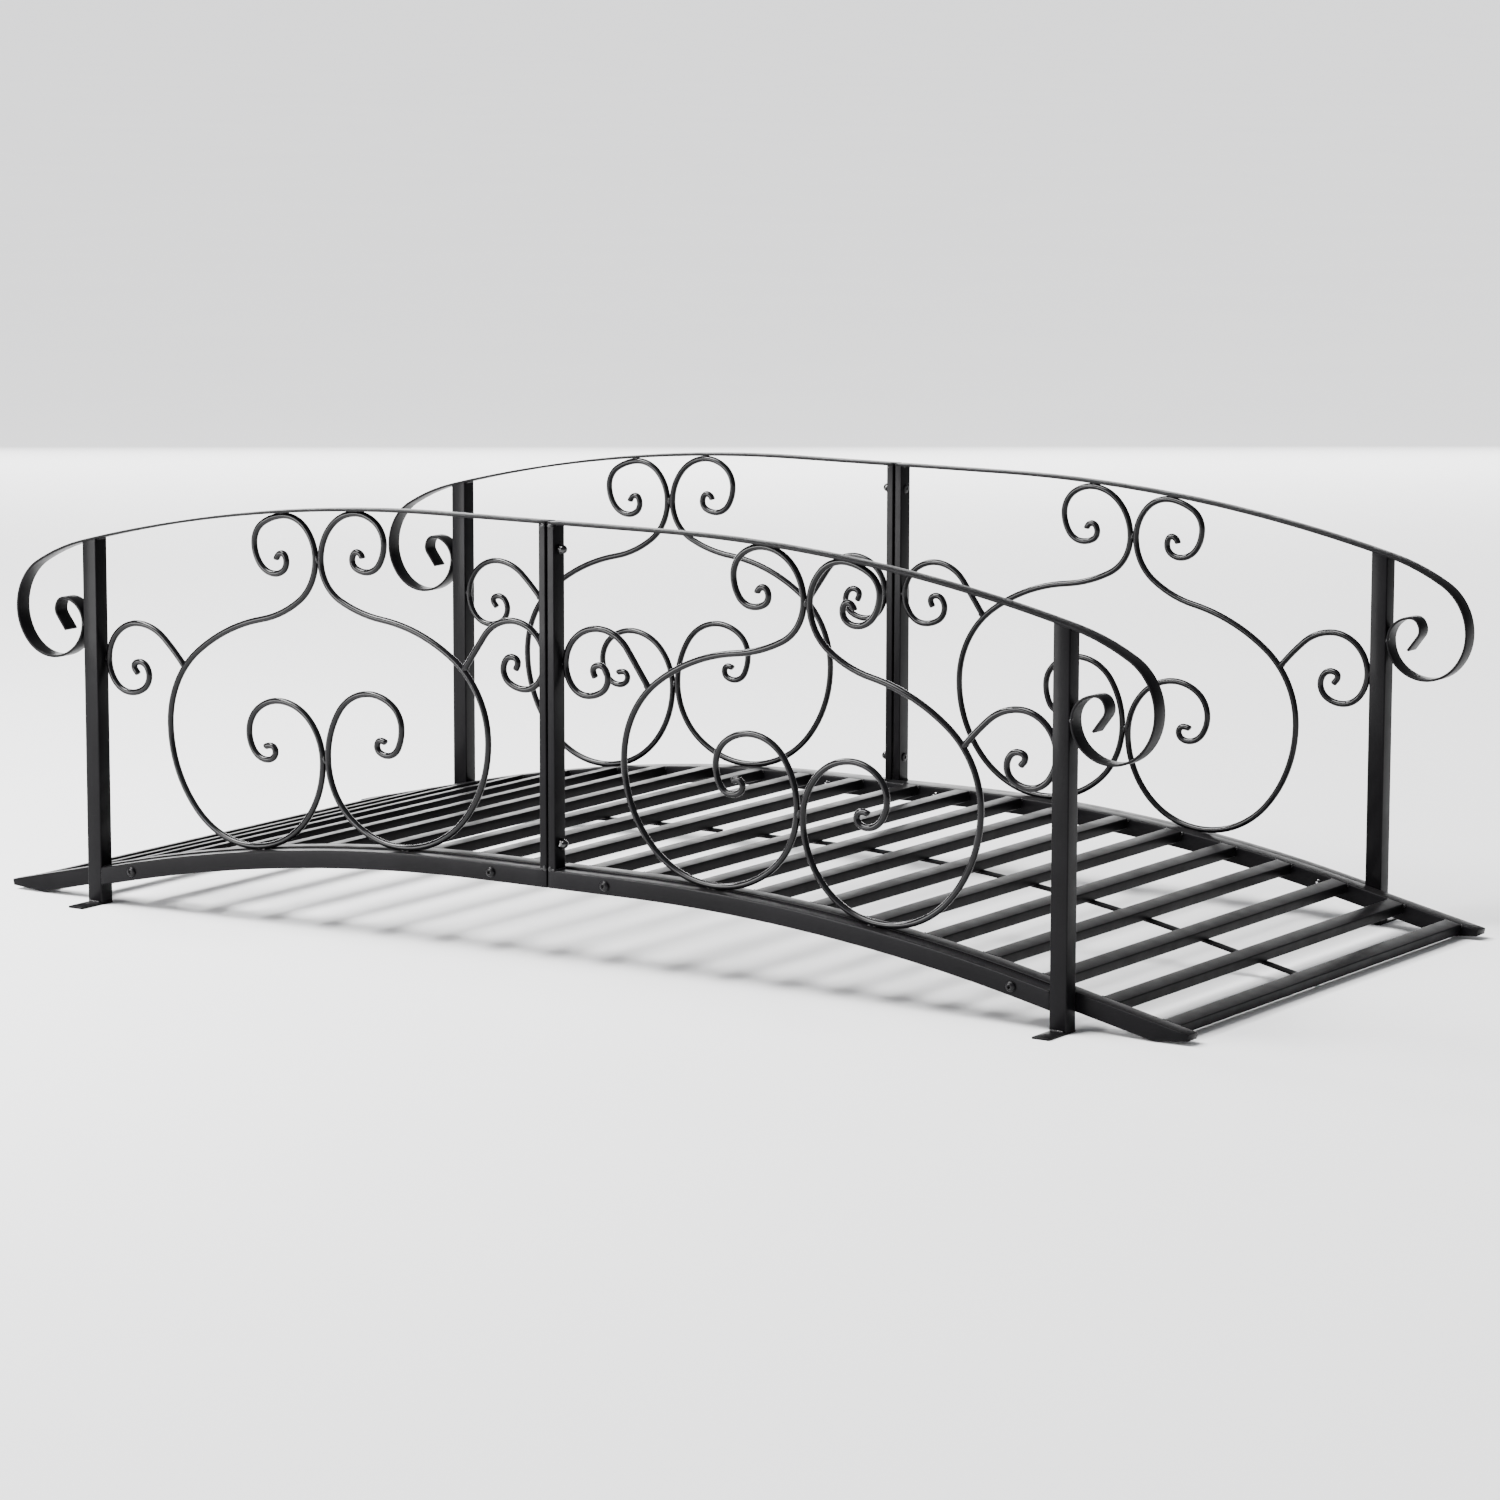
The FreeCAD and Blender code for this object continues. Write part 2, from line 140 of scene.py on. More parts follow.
@dataclass(frozen=True)
class PowderCoat:
    """Baked black powder coat over steel.

    Attributes:
        name: Name of the material.
        tone: Linear colour of the coat.
        roughness: Middle roughness.
        spread: How far roughness wanders each side of the middle.
        peel: Depth of the orange peel, in metres.
        dust: Share of a pale tint painted on faces that look up, as painted top light.
        coat: Weight of the clear gloss on top.
        specular: Strength of the coat's own reflection.
    """

    name: str
    tone: Triple = (0.0036, 0.0034, 0.0039)
    roughness: float = 0.36
    spread: float = 0.06
    peel: float = 0.00012
    dust: float = 0.04
    coat: float = 0.04
    specular: float = 0.05

    def build(self) -> bpy.types.Material:
        """Makes the material.

        Returns:
            A node material that reads Object coordinates.
        """
        material = bpy.data.materials.new(self.name)
        material.use_nodes = True
        tree = material.node_tree
        shader = tree.nodes["Principled BSDF"]
        shader.inputs["Specular IOR Level"].default_value = self.specular
        shader.inputs["Coat Weight"].default_value = self.coat
        shader.inputs["Coat Roughness"].default_value = COAT_ROUGHNESS
        place = tree.nodes.new("ShaderNodeTexCoord").outputs["Object"]
        stretched = tree.nodes.new("ShaderNodeMapping")
        stretched.inputs["Scale"].default_value = SCUFF_STRETCH
        tree.links.new(place, stretched.inputs["Vector"])
        sheen = self.noise(tree, place, Grain.SHEEN)

        # Pattern, where its step begins and ends, its greatest share, and its gain.
        layers = ((self.noise(tree, place, Grain.MOTTLE), 0.35, 0.68, 1.0, 1.25),
                  (self.noise(tree, stretched.outputs[0], Grain.SCUFF), 0.66, 0.80, 0.35, 2.6),
                  (self.noise(tree, place, Grain.SPARKLE), 0.70, 0.84, 0.30, 2.0))
        base: object = self.tint(UNDERCOAT)
        for value, low, high, top, gain in layers:
            share = self.ramp(tree, value, low, high, 0.0, top)
            base = self.blend(tree, share, base, self.tint(gain))
        # Painted top light: faces that look up are mixed towards a pale tint, broken up by the
        # sheen noise.
        up = tree.nodes.new("ShaderNodeSeparateXYZ")
        tree.links.new(tree.nodes.new("ShaderNodeNewGeometry").outputs["Normal"], up.inputs[0])
        painted_top_light_share = tree.nodes.new("ShaderNodeMath")
        painted_top_light_share.operation = "MULTIPLY"
        level = self.ramp(tree, up.outputs["Z"], PAINTED_TOP_LIGHT_SLOPE, 1.0, 0.0, self.dust)
        tree.links.new(level, painted_top_light_share.inputs[0])
        tree.links.new(self.ramp(tree, sheen, *SHEEN_RANGE), painted_top_light_share.inputs[1])
        base = self.blend(tree, painted_top_light_share.outputs[0], base, PAINTED_TOP_LIGHT_COLOUR)
        tree.links.new(base, shader.inputs["Base Color"])

        gloss = self.ramp(tree, sheen, *SHEEN_RANGE, self.roughness - self.spread,
                          self.roughness + self.spread, "LINEAR")
        tree.links.new(gloss, shader.inputs["Roughness"])
        bump = tree.nodes.new("ShaderNodeBump")
        bump.inputs["Strength"].default_value = PEEL_STRENGTH
        bump.inputs["Distance"].default_value = self.peel
        tree.links.new(self.noise(tree, place, Grain.PEEL), bump.inputs["Height"])
        tree.links.new(bump.outputs[0], shader.inputs["Normal"])
        return material

    def tint(self, gain: float) -> Colour:
        """The coat's tone made lighter or darker by gain."""
        return (self.tone[0] * gain, self.tone[1] * gain, self.tone[2] * gain, 1.0)

    @staticmethod
    def noise(tree: bpy.types.NodeTree, place: bpy.types.NodeSocket,
              grain: Grain) -> bpy.types.NodeSocket:
        """Adds a noise texture that reads the coordinates place, and returns its value."""
        node = tree.nodes.new("ShaderNodeTexNoise")
        node.inputs["Scale"].default_value, node.inputs["Detail"].default_value = grain.value
        tree.links.new(place, node.inputs["Vector"])
        return node.outputs[0]

    @staticmethod
    def ramp(tree: bpy.types.NodeTree, value: bpy.types.NodeSocket, low: float, high: float,
             bottom: float = 0.0, top: float = 1.0,
             curve: str = "SMOOTHSTEP") -> bpy.types.NodeSocket:
        """Adds a step in a value.

        Args:
            tree: Tree it goes in.
            value: Value it reads.
            low: Where the step begins.
            high: Where it ends.
            bottom: Result up to low.
            top: Result from high on.
            curve: Interpolation between them.

        Returns:
            The stepped value.
        """
        node = tree.nodes.new("ShaderNodeMapRange")
        node.interpolation_type = curve
        for label, number in (("From Min", low), ("From Max", high), ("To Min", bottom),
                              ("To Max", top)):
            node.inputs[label].default_value = number
        tree.links.new(value, node.inputs["Value"])
        return node.outputs[0]

    @staticmethod
    def blend(tree: bpy.types.NodeTree, share: bpy.types.NodeSocket, first: object,
              second: object) -> bpy.types.NodeSocket:
        """Mixes two colours.

        Args:
            tree: Tree it goes in.
            share: How much of the second.
            first: Colour or socket.
            second: Colour or socket.

        Returns:
            The mixed colour.
        """
        node = tree.nodes.new("ShaderNodeMix")
        node.data_type = "RGBA"
        tree.links.new(share, node.inputs[0])
        for socket, colour in ((node.inputs[6], first), (node.inputs[7], second)):
            if isinstance(colour, bpy.types.NodeSocket):
                tree.links.new(colour, socket)
            else:
                socket.default_value = colour
        return node.outputs[2]


@dataclass(frozen=True)
class Finishes:
    """Every material of the bridge, made once.

    Attributes:
        tube: Posts, feet and lower bars.
        rail: Hand rails.
        rod: Scrolls.
        deck: Side tubes, slats and straps.
        screw: Button-head screws.
        nut: Dome nuts.
        weld: Beads and tacks.
    """

    tube: bpy.types.Material
    rail: bpy.types.Material
    rod: bpy.types.Material
    deck: bpy.types.Material
    screw: bpy.types.Material
    nut: bpy.types.Material
    weld: bpy.types.Material

    @classmethod
    def mix(cls) -> "Finishes":
        """Builds the set."""
        return cls(
            tube=PowderCoat("tube_powder_coat").build(),
            rail=PowderCoat("rail_powder_coat", roughness=0.38).build(),
            rod=PowderCoat("rod_powder_coat", roughness=0.17, spread=0.03, peel=0.00005,
                           dust=0.01, specular=0.16).build(),
            deck=PowderCoat("deck_powder_coat", roughness=0.38, dust=0.04, coat=0.02,
                            specular=0.04).build(),
            screw=PowderCoat("black_oxide_screw", roughness=0.28, spread=0.04, peel=0.00003,
                             dust=0.01, coat=0.08, specular=0.10).build(),
            nut=PowderCoat("dome_nut_enamel", tone=(0.004, 0.004, 0.0043), roughness=0.12,
                           spread=0.03, peel=0.00002, dust=0.01, coat=0.25, specular=0.40).build(),
            weld=PowderCoat("weld_powder_coat", roughness=0.27, peel=0.0002, dust=0.02,
                            specular=0.24).build(),
        )


# ------------------------------------------------------- bent-bar geometry
def direction(degrees: float) -> Vector:
    """Unit vector in the XZ plane at an angle from +X towards +Z."""
    return Vector((math.cos(math.radians(degrees)), 0.0, math.sin(math.radians(degrees))))


def normal(degrees: float) -> Vector:
    """Unit vector to the left of a heading."""
    return direction(degrees + 90.0)


@dataclass(frozen=True)
class Arch:
    """A line level at the middle, then one bend, then straight.

    Attributes:
        crown: Height at the middle.
        flat: Level run each side of the middle.
        bend_end: Where the bend ends.
        fall: How far the bend falls.
    """

    crown: float
    flat: float
    bend_end: float
    fall: float

    @property
    def radius(self) -> float:
        """Radius of the bend."""
        run = self.bend_end - self.flat
        return (run * run + self.fall * self.fall) / (2.0 * self.fall)

    def slope(self, x: float) -> float:
        """Downward slope at x, in degrees."""
        run = max(0.0, min(x, self.bend_end) - self.flat)
        return math.degrees(math.asin(run / self.radius))

    def height(self, x: float) -> float:
        """Height at x."""
        run = max(0.0, min(x, self.bend_end) - self.flat)
        bent = self.crown - self.radius + math.sqrt(self.radius ** 2 - run * run)
        return bent - max(0.0, x - self.bend_end) * math.tan(math.radians(self.slope(x)))

    def offset(self, x: float, distance: float) -> float:
        """Height at x of the line that runs beside the arch at a distance."""
        return self.height(x) + distance / math.cos(math.radians(self.slope(x)))

    def stations(self, start: float, end: float) -> list[Triple]:
        """Stations of the arch from start to end."""
        points = [(start, self.crown, 0.0), (self.flat, self.crown, 0.0)]
        points.append((self.bend_end, self.height(self.bend_end), -self.slope(self.bend_end)))
        if end > self.bend_end + 1e-6:
            points.append((end, self.height(end), -self.slope(end)))
        return points


@dataclass
class BentLine:
    """A chain of tangent arcs in the XZ plane.

    Attributes:
        stations: Points that it passes through, as x, z and heading in degrees.
        arcs: Start, heading, half of the turn and chord of each arc.
    """

    stations: Sequence[Triple]
    arcs: list[Arc] = field(default_factory=list)

    def __post_init__(self) -> None:
        """Works out the two arcs between each pair of stations."""
        for (x0, z0, h0), (x1, z1, h1) in zip(self.stations, self.stations[1:]):
            self.join(Vector((x0, 0, z0)), h0, Vector((x1, 0, z1)), h1)

    def join(self, start: Vector, heading: float, end: Vector, end_heading: float) -> None:
        """Adds the two tangent arcs between two points.

        Args:
            start: First point.
            heading: Heading there, in degrees.
            end: Second point.
            end_heading: Heading there.
        """
        t0, t1 = direction(heading), direction(end_heading)
        gap = end - start
        a, b = 2.0 * (1.0 - t0.dot(t1)), gap.dot(t0 + t1)
        if a < 1e-9:
            reach = gap.dot(gap) / (4.0 * gap.dot(t1))
        else:
            reach = (-b + math.sqrt(b * b + a * gap.dot(gap))) / a
        middle = (start + end + (t0 - t1) * reach) * 0.5
        leave = self.arc(start, heading, middle)
        self.arc(middle, leave, end)

    def arc(self, start: Vector, heading: float, end: Vector) -> float:
        """Adds one arc, and returns the heading it ends with."""
        chord = end - start
        bearing = math.degrees(math.atan2(chord.z, chord.x))
        half_turn = (bearing - heading + 180.0) % 360.0 - 180.0
        self.arcs.append((start, heading, half_turn, chord.length))
        return heading + 2.0 * half_turn

    def points(self, angle: float, step: float) -> list[tuple[Vector, float]]:
        """Points along the line.

        Args:
            angle: Most degrees turned between two points.
            step: Most metres between two points.

        Returns:
            Each point with its heading.
        """
        found: list[tuple[Vector, float]] = []
        for start, heading, half_turn, chord in self.arcs:
            count = max(1, math.ceil(abs(2.0 * half_turn) / angle), math.ceil(chord / step))
            bend = math.radians(half_turn)
            for i in range(count):
                share = i / count
                grown = math.sin(bend * share) / math.sin(bend) if abs(bend) > 1e-7 else share
                point = start + direction(heading + half_turn * share) * (chord * grown)
                found.append((point, heading + 2.0 * half_turn * share))
        start, heading, half_turn, chord = self.arcs[-1]
        found.append((start + direction(heading + half_turn) * chord, heading + 2.0 * half_turn))
        return found

    def beside(self, distance: float, angle: float = 1.0, step: float = 0.02,
               lift: float = 0.0) -> list[Vector]:
        """Points of the line that runs to its left.

        Args:
            distance: How far to the left; negative is to the right.
            angle: Most degrees turned between two points.
            step: Most metres between two points.
            lift: How far the whole line is raised.

        Returns:
            The points alone.
        """
        raised = Vector((0, 0, lift))
        return [point + normal(heading) * distance + raised
                for point, heading in self.points(angle, step)]

    def nearest(self, x: float, z: float) -> Vector:
        """The point of the line closest to x, z, to a millimetre."""
        goal = Vector((x, 0, z))
        return min((point for point, _ in self.points(1.0, 0.001)),
                   key=lambda point: (point - goal).length)


# ------------------------------------------------------------- mesh helpers
def linked(name: str, data: bpy.types.ID) -> bpy.types.Object:
    """A new object of the scene."""
    item = bpy.data.objects.new(name, data)
    bpy.context.scene.collection.objects.link(item)
    return item


def tagged(mesh: bpy.types.Mesh, label: str, values: Sequence[object]) -> bpy.types.Mesh:
    """Stores a number or a vector at each point of a mesh, and returns the mesh."""
    if isinstance(values[0], Vector):
        layer = mesh.attributes.new(label, "FLOAT_VECTOR", "POINT")
        layer.data.foreach_set("vector", [part for value in values for part in value])
    else:
        mesh.attributes.new(label, "FLOAT", "POINT").data.foreach_set("value", values)
    return mesh


def spots_mesh(spots: Sequence[Vector], label: str, values: Sequence[object]) -> bpy.types.Mesh:
    """Loose points, with a number or a vector at each."""
    mesh = bpy.data.meshes.new("spots")
    mesh.from_pydata(spots, [], [])
    return tagged(mesh, label, values)


def wire_mesh(points: Sequence[Vector], y: float = 0.0) -> bpy.types.Mesh:
    """A mesh of edges through points drawn in XZ, in the plane y."""
    mesh = bpy.data.meshes.new("line")
    mesh.from_pydata([(p.x, p.y + y, p.z) for p in points],
                     [(i, i + 1) for i in range(len(points) - 1)], [])
    return mesh


def trim(mesh: bpy.types.Mesh, point: Vector, outward: Vector) -> None:
    """Cuts off what lies beyond a plane, and closes the cut.

    Args:
        mesh: Mesh to cut.
        point: A point of the plane.
        outward: Direction from the plane towards what is cut off.
    """
    work = bmesh.new()
    work.from_mesh(mesh)
    cut = bmesh.ops.bisect_plane(work, geom=work.verts[:] + work.edges[:] + work.faces[:],
                                 plane_co=point, plane_no=outward, clear_outer=True)
    rim = [item for item in cut["geom_cut"] if isinstance(item, bmesh.types.BMEdge)]
    if rim:
        bmesh.ops.edgenet_fill(work, edges=rim)
    bmesh.ops.recalc_face_normals(work, faces=work.faces[:])
    work.to_mesh(mesh)
    work.free()


def soften(mesh: bpy.types.Mesh, width: float, angle: float = 35.0,
           steps: int = 2) -> bpy.types.Mesh:
    """Rounds a mesh's sharp edges.

    Args:
        mesh: Mesh to round; it is used up.
        width: Width of the rounding.
        angle: Edges sharper than this are rounded.
        steps: Segments of the rounding.

    Returns:
        The rounded mesh, shaded smooth except at edges that are still sharp.
    """
    work = bmesh.new()
    work.from_mesh(mesh)
    limit = math.radians(angle)
    sharp = [e for e in work.edges if e.is_manifold and e.calc_face_angle(0.0) > limit]
    bmesh.ops.bevel(work, geom=sharp, offset=width, segments=steps, profile=0.5, affect="EDGES",
                    clamp_overlap=True)
    for face in work.faces:
        face.smooth = True
    for edge in work.edges:
        edge.smooth = edge.calc_face_angle(0.0) < math.radians(SMOOTH_ANGLE)
    work.to_mesh(mesh)
    work.free()
    return mesh


def lathe(rings: Sequence[tuple[float, float]], sides: int = 36, flats: float = 0.0,
          flat_rings: Sequence[int] = ()) -> bpy.types.Mesh:
    """A turned, closed form about +Z.

    Args:
        rings: Radius and height of each ring, from the bottom middle to the top middle.
        sides: Points of a ring.
        flats: Width across the flats of a hexagon.
        flat_rings: Rings that the hexagon cuts.

    Returns:
        A closed mesh.
    """
    work = bmesh.new()
    rows: list[list[bmesh.types.BMVert]] = []
    for index, (radius, height) in enumerate(rings):
        row = []
        for side in range(sides):
            turn = math.tau * side / sides
            reach = radius
            if index in flat_rings:
                off = (turn + math.pi / 6) % (math.pi / 3) - math.pi / 6
                reach = min(radius, flats / 2 / math.cos(off))
            row.append(work.verts.new((reach * math.cos(turn), reach * math.sin(turn), height)))
        rows.append(row)
    for low, high in zip(rows, rows[1:]):
        for side in range(sides):
            after = (side + 1) % sides
            work.faces.new((low[side], low[after], high[after], high[side]))
    work.faces.new(rows[0][::-1])
    work.faces.new(rows[-1])
    bmesh.ops.recalc_face_normals(work, faces=work.faces[:])
    for face in work.faces:
        face.smooth = True
    for edge in work.edges:
        edge.smooth = edge.calc_face_angle(0.0) < math.radians(TURNED_ANGLE)
    mesh = bpy.data.meshes.new("turned")
    work.to_mesh(mesh)
    work.free()
    return mesh


def joined(meshes: Sequence[bpy.types.Mesh]) -> bpy.types.Mesh:
    """Puts several meshes of one material into one."""
    work = bmesh.new()
    for mesh in meshes:
        work.from_mesh(mesh)
    whole = meshes[0].copy()
    work.to_mesh(whole)
    work.free()
    return whole


def mirrored(mesh: bpy.types.Mesh, quarter: Quarter) -> bpy.types.Mesh:
    """A copy of a mesh of the front right quarter, mirrored to another quarter."""
    copy = mesh.copy()
    copy.transform(quarter.matrix)
    if quarter.mirrored:
        copy.flip_normals()
    return copy


def finished(mesh: bpy.types.Mesh, name: str, slot: Slot, node: str = "") -> None:
    """Makes a piece of the bridge and reports it.

    Args:
        mesh: Its mesh, with its material.
        name: Its name.
        slot: Material slot of the record; not used.
        node: CAD node that it stands for, if any.
    """
    mesh.name = name
    piece = linked(name, mesh)
    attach(piece, BODY)
    if node:
        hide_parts(node)
    log.info("%s: %d faces for %s", name, len(mesh.polygons), node or "trim")


def place_all(slot: Slot, *pieces: tuple[bpy.types.Mesh, str, str]) -> None:
    """Makes pieces in all four quarters.

    Args:
        slot: Material slot of the record.
        pieces: Mesh drawn for the front right quarter, start of the piece's name, and start of
            the CAD node that it stands for, or nothing for trim.
    """
    for quarter in Quarter:
        for mesh, name, node in pieces:
            finished(mirrored(mesh, quarter), f"{name}_{quarter.tag}", slot,
                     node and f"{node}_{quarter.tag}")


# ----------------------------------------------------------- node recipes
class Recipe:
    """A Geometry Nodes tree with named inputs."""

    def __init__(self, name: str, inputs: dict[str, str]) -> None:
        """Starts the tree.

        Args:
            name: Name of the tree.
            inputs: Socket type of each named input.
        """
        self.tree = bpy.data.node_groups.new(name, "GeometryNodeTree")
        face = self.tree.interface
        face.new_socket("Geometry", in_out="INPUT", socket_type="NodeSocketGeometry")
        self.sockets = {label: face.new_socket(label, in_out="INPUT", socket_type=kind).identifier
                        for label, kind in inputs.items()}
        self.sockets["Material"] = face.new_socket("Material", in_out="INPUT",
                                                   socket_type="NodeSocketMaterial").identifier
        face.new_socket("Geometry", in_out="OUTPUT", socket_type="NodeSocketGeometry")
        self.source = self.tree.nodes.new("NodeGroupInput")

    def node(self, kind: str, links: dict[object, object] | None = None,
             **settings: object) -> bpy.types.Node:
        """Adds a node.

        Args:
            kind: Node type after "GeometryNode", or the whole name.
            links: Inputs by name or number: a socket to link or a value to set.
            settings: Properties of the node.

        Returns:
            The node.
        """
        known = kind.startswith(("ShaderNode", "FunctionNode", "GeometryNode"))
        node = self.tree.nodes.new(kind if known else "GeometryNode" + kind)
        for label, value in settings.items():
            setattr(node, label, value)
        for key, value in (links or {}).items():
            socket = node.inputs[key]
            if isinstance(value, bpy.types.NodeSocket):
                self.tree.links.new(value, socket)
            else:
                socket.default_value = value
        return node

    def given(self, label: str) -> bpy.types.NodeSocket:
        """Socket of a named input inside the tree."""
        return self.source.outputs[label]

    def math(self, operation: str, first: object, second: object = 0.0) -> bpy.types.NodeSocket:
        """Adds one sum and returns its result."""
        return self.node("ShaderNodeMath", {0: first, 1: second}, operation=operation).outputs[0]

    def rounded_box(self, width: str, height: str, corner: str,
                    steps: object) -> bpy.types.NodeSocket:
        """A rectangle with rounded corners.

        Args:
            width: Named input of its width.
            height: Named input of its height.
            corner: Named input of its corners' radius.
            steps: Segments of a corner: a number or a socket.

        Returns:
            The closed curve.
        """
        shape = self.node("CurvePrimitiveQuadrilateral", {
            "Width": self.given(width), "Height": self.given(height)}, mode="RECTANGLE")
        return self.node("FilletCurve", {
            "Curve": shape.outputs[0], "Radius": self.given(corner), "Count": steps,
            "Limit Radius": True}, mode="POLY").outputs[0]

    def ring(self, diameter: str, sides: object) -> bpy.types.NodeSocket:
        """A circle, from the named input of its diameter and a number of sides."""
        radius = self.math("MULTIPLY", self.given(diameter), 0.5)
        return self.node("CurvePrimitiveCircle", {"Resolution": sides, "Radius": radius}).outputs[0]

    def facing(self, curve: bpy.types.NodeSocket, way: Triple) -> bpy.types.NodeSocket:
        """Gives a curve one normal all along, so that a profile keeps its clock angle."""
        turned = self.node("SetCurveNormal", {"Curve": curve}, mode="FREE")
        turned.inputs["Normal"].default_value = way
        return turned.outputs[0]

    def sweep(self, curve: bpy.types.NodeSocket, profile: bpy.types.NodeSocket,
              scale: bpy.types.NodeSocket | None = None) -> bpy.types.NodeSocket:
        """Sweeps a profile along a curve, with both ends capped.

        Args:
            curve: The path.
            profile: The closed profile.
            scale: How much larger the profile is at each point.

        Returns:
            The closed mesh.
        """
        if scale is not None:
            curve = self.node("SetCurveRadius", {"Curve": curve, "Radius": scale}).outputs[0]
        swept = self.node("CurveToMesh", {"Curve": curve, "Profile Curve": profile,
                                          "Fill Caps": True})
        if scale is not None and "Scale" in swept.inputs:
            self.tree.links.new(scale, swept.inputs["Scale"])
        return swept.outputs[0]

    def smooth(self, geometry: bpy.types.NodeSocket) -> bpy.types.NodeSocket:
        """Shades smooth, except at edges sharper than SMOOTH_ANGLE."""
        smooth = self.node("SetShadeSmooth", {"Geometry": geometry})
        turn = self.node("InputMeshEdgeAngle").outputs[0]
        sharp = self.math("GREATER_THAN", turn, math.radians(SMOOTH_ANGLE))
        flat = self.node("SetShadeSmooth", {"Geometry": smooth.outputs[0], "Selection": sharp,
                                            "Shade Smooth": False}, domain="EDGE")
        return flat.outputs[0]

    def finish(self, geometry: bpy.types.NodeSocket) -> "Recipe":
        """Ends the tree in Realize Instances and Set Material."""
        whole = self.node("RealizeInstances", {"Geometry": geometry}).outputs[0]
        dressed = self.node("SetMaterial", {"Geometry": whole, "Material": self.given("Material")})
        sink = self.tree.nodes.new("NodeGroupOutput")
        self.tree.links.new(dressed.outputs[0], sink.inputs[0])
        return self

    def make(self, start: bpy.types.Mesh, **values: object) -> bpy.types.Mesh:
        """Runs the tree on a mesh.

        Args:
            start: Mesh that the tree begins with.
            values: The named inputs, with _ for spaces.

        Returns:
            The result as a plain mesh.
        """
        helper = linked("helper", start)
        modifier = helper.modifiers.new("recipe", "NODES")
        modifier.node_group = self.tree
        for label, value in values.items():
            modifier[self.sockets[label.replace("_", " ")]] = value
        bpy.context.view_layer.update()
        graph = bpy.context.evaluated_depsgraph_get()
        mesh = bpy.data.meshes.new_from_object(helper.evaluated_get(graph), depsgraph=graph)
        bpy.data.objects.remove(helper)
        return mesh


class RoundBarRecipe(Recipe):
    """Sweeps a round bar along a line of edges; the swell attribute scales its radius.

    Attributes:
        END_SWELL: Radius near an end, as shares of the bar's own.
        END_STEPS: Where those radii are, in diameters from the end.
        END_CLEAR: Points closer to an end than this many last steps are left out.
    """

    END_SWELL = (0.50, 0.78, 0.94)
    END_STEPS = (0.03, 0.10, 0.22)
    END_CLEAR = 1.5

    def __init__(self) -> None:
        """Builds the tree."""
        super().__init__("round_bar", {"Bar Diameter": "NodeSocketFloat", "Sides": "NodeSocketInt"})
        line = self.node("MeshToCurve", {"Mesh": self.given("Geometry")})
        swell = self.node("InputNamedAttribute", {"Name": "swell"}, data_type="FLOAT")
        ring = self.ring("Bar Diameter", self.given("Sides"))
        self.finish(self.smooth(self.sweep(line.outputs[0], ring, swell.outputs[0])))

    def bar(self, points: Sequence[Vector], y: float, diameter: float,
            material: bpy.types.Material, sides: int = 16) -> bpy.types.Mesh:
        """One bar.

        Args:
            points: Its centre line, drawn in XZ.
            y: Plane of the line.
            diameter: Diameter of the bar.
            material: Its finish.
            sides: Sides of the bar.

        Returns:
            The bar, with its two ends dressed round by a file.
        """
        mesh = wire_mesh(self.ends(points, diameter), y)
        swell = [1.0] * len(mesh.vertices)
        for index, share in enumerate(self.END_SWELL):
            swell[index] = swell[-1 - index] = share
        return self.make(tagged(mesh, "swell", swell), Bar_Diameter=diameter, Sides=sides,
                         Material=material)

    def ends(self, points: Sequence[Vector], diameter: float) -> list[Vector]:
        """Adds the short steps that round off both ends.

        Args:
            points: Centre line of the bar.
            diameter: Its diameter.

        Returns:
            The centre line with those steps.
        """
        steps = [diameter * share for share in self.END_STEPS]
        clear = steps[-1] * self.END_CLEAR
        first = (points[1] - points[0]).normalized()
        last = (points[-2] - points[-1]).normalized()
        start = [points[0]] + [points[0] + first * s for s in steps]
        stop = [points[-1] + last * s for s in reversed(steps)] + [points[-1]]
        inner = [p for p in points[1:-1]
                 if (p - points[0]).length > clear and (p - points[-1]).length > clear]
        return start + inner + stop


class SectionRecipe(Recipe):
    """Sweeps a rectangular section with rounded corners along a line in an XZ plane."""

    def __init__(self) -> None:
        """Builds the tree."""
        super().__init__("rolled_section", {
            "Across": "NodeSocketFloat", "Thick": "NodeSocketFloat",
            "Corner": "NodeSocketFloat", "Corner Steps": "NodeSocketInt"})
        line = self.node("MeshToCurve", {"Mesh": self.given("Geometry")})
        shape = self.rounded_box("Across", "Thick", "Corner", self.given("Corner Steps"))
        swept = self.sweep(self.facing(line.outputs[0], (0.0, 1.0, 0.0)), shape)
        self.finish(self.smooth(swept))

    def section(self, points: Sequence[Vector], y: float, across: float, thick: float,
                corner: float, material: bpy.types.Material, steps: int = 5) -> bpy.types.Mesh:
        """One bar or tube.

        Args:
            points: Its centre line, drawn in XZ.
            y: Plane of the line.
            across: Its width along Y.
            thick: Its other width.
            corner: Radius of its long edges.
            material: Its finish.
            steps: Segments of a corner.

        Returns:
            The closed mesh.
        """
        return self.make(wire_mesh(points, y), Across=across, Thick=thick, Corner=corner,
                         Corner_Steps=steps, Material=material)


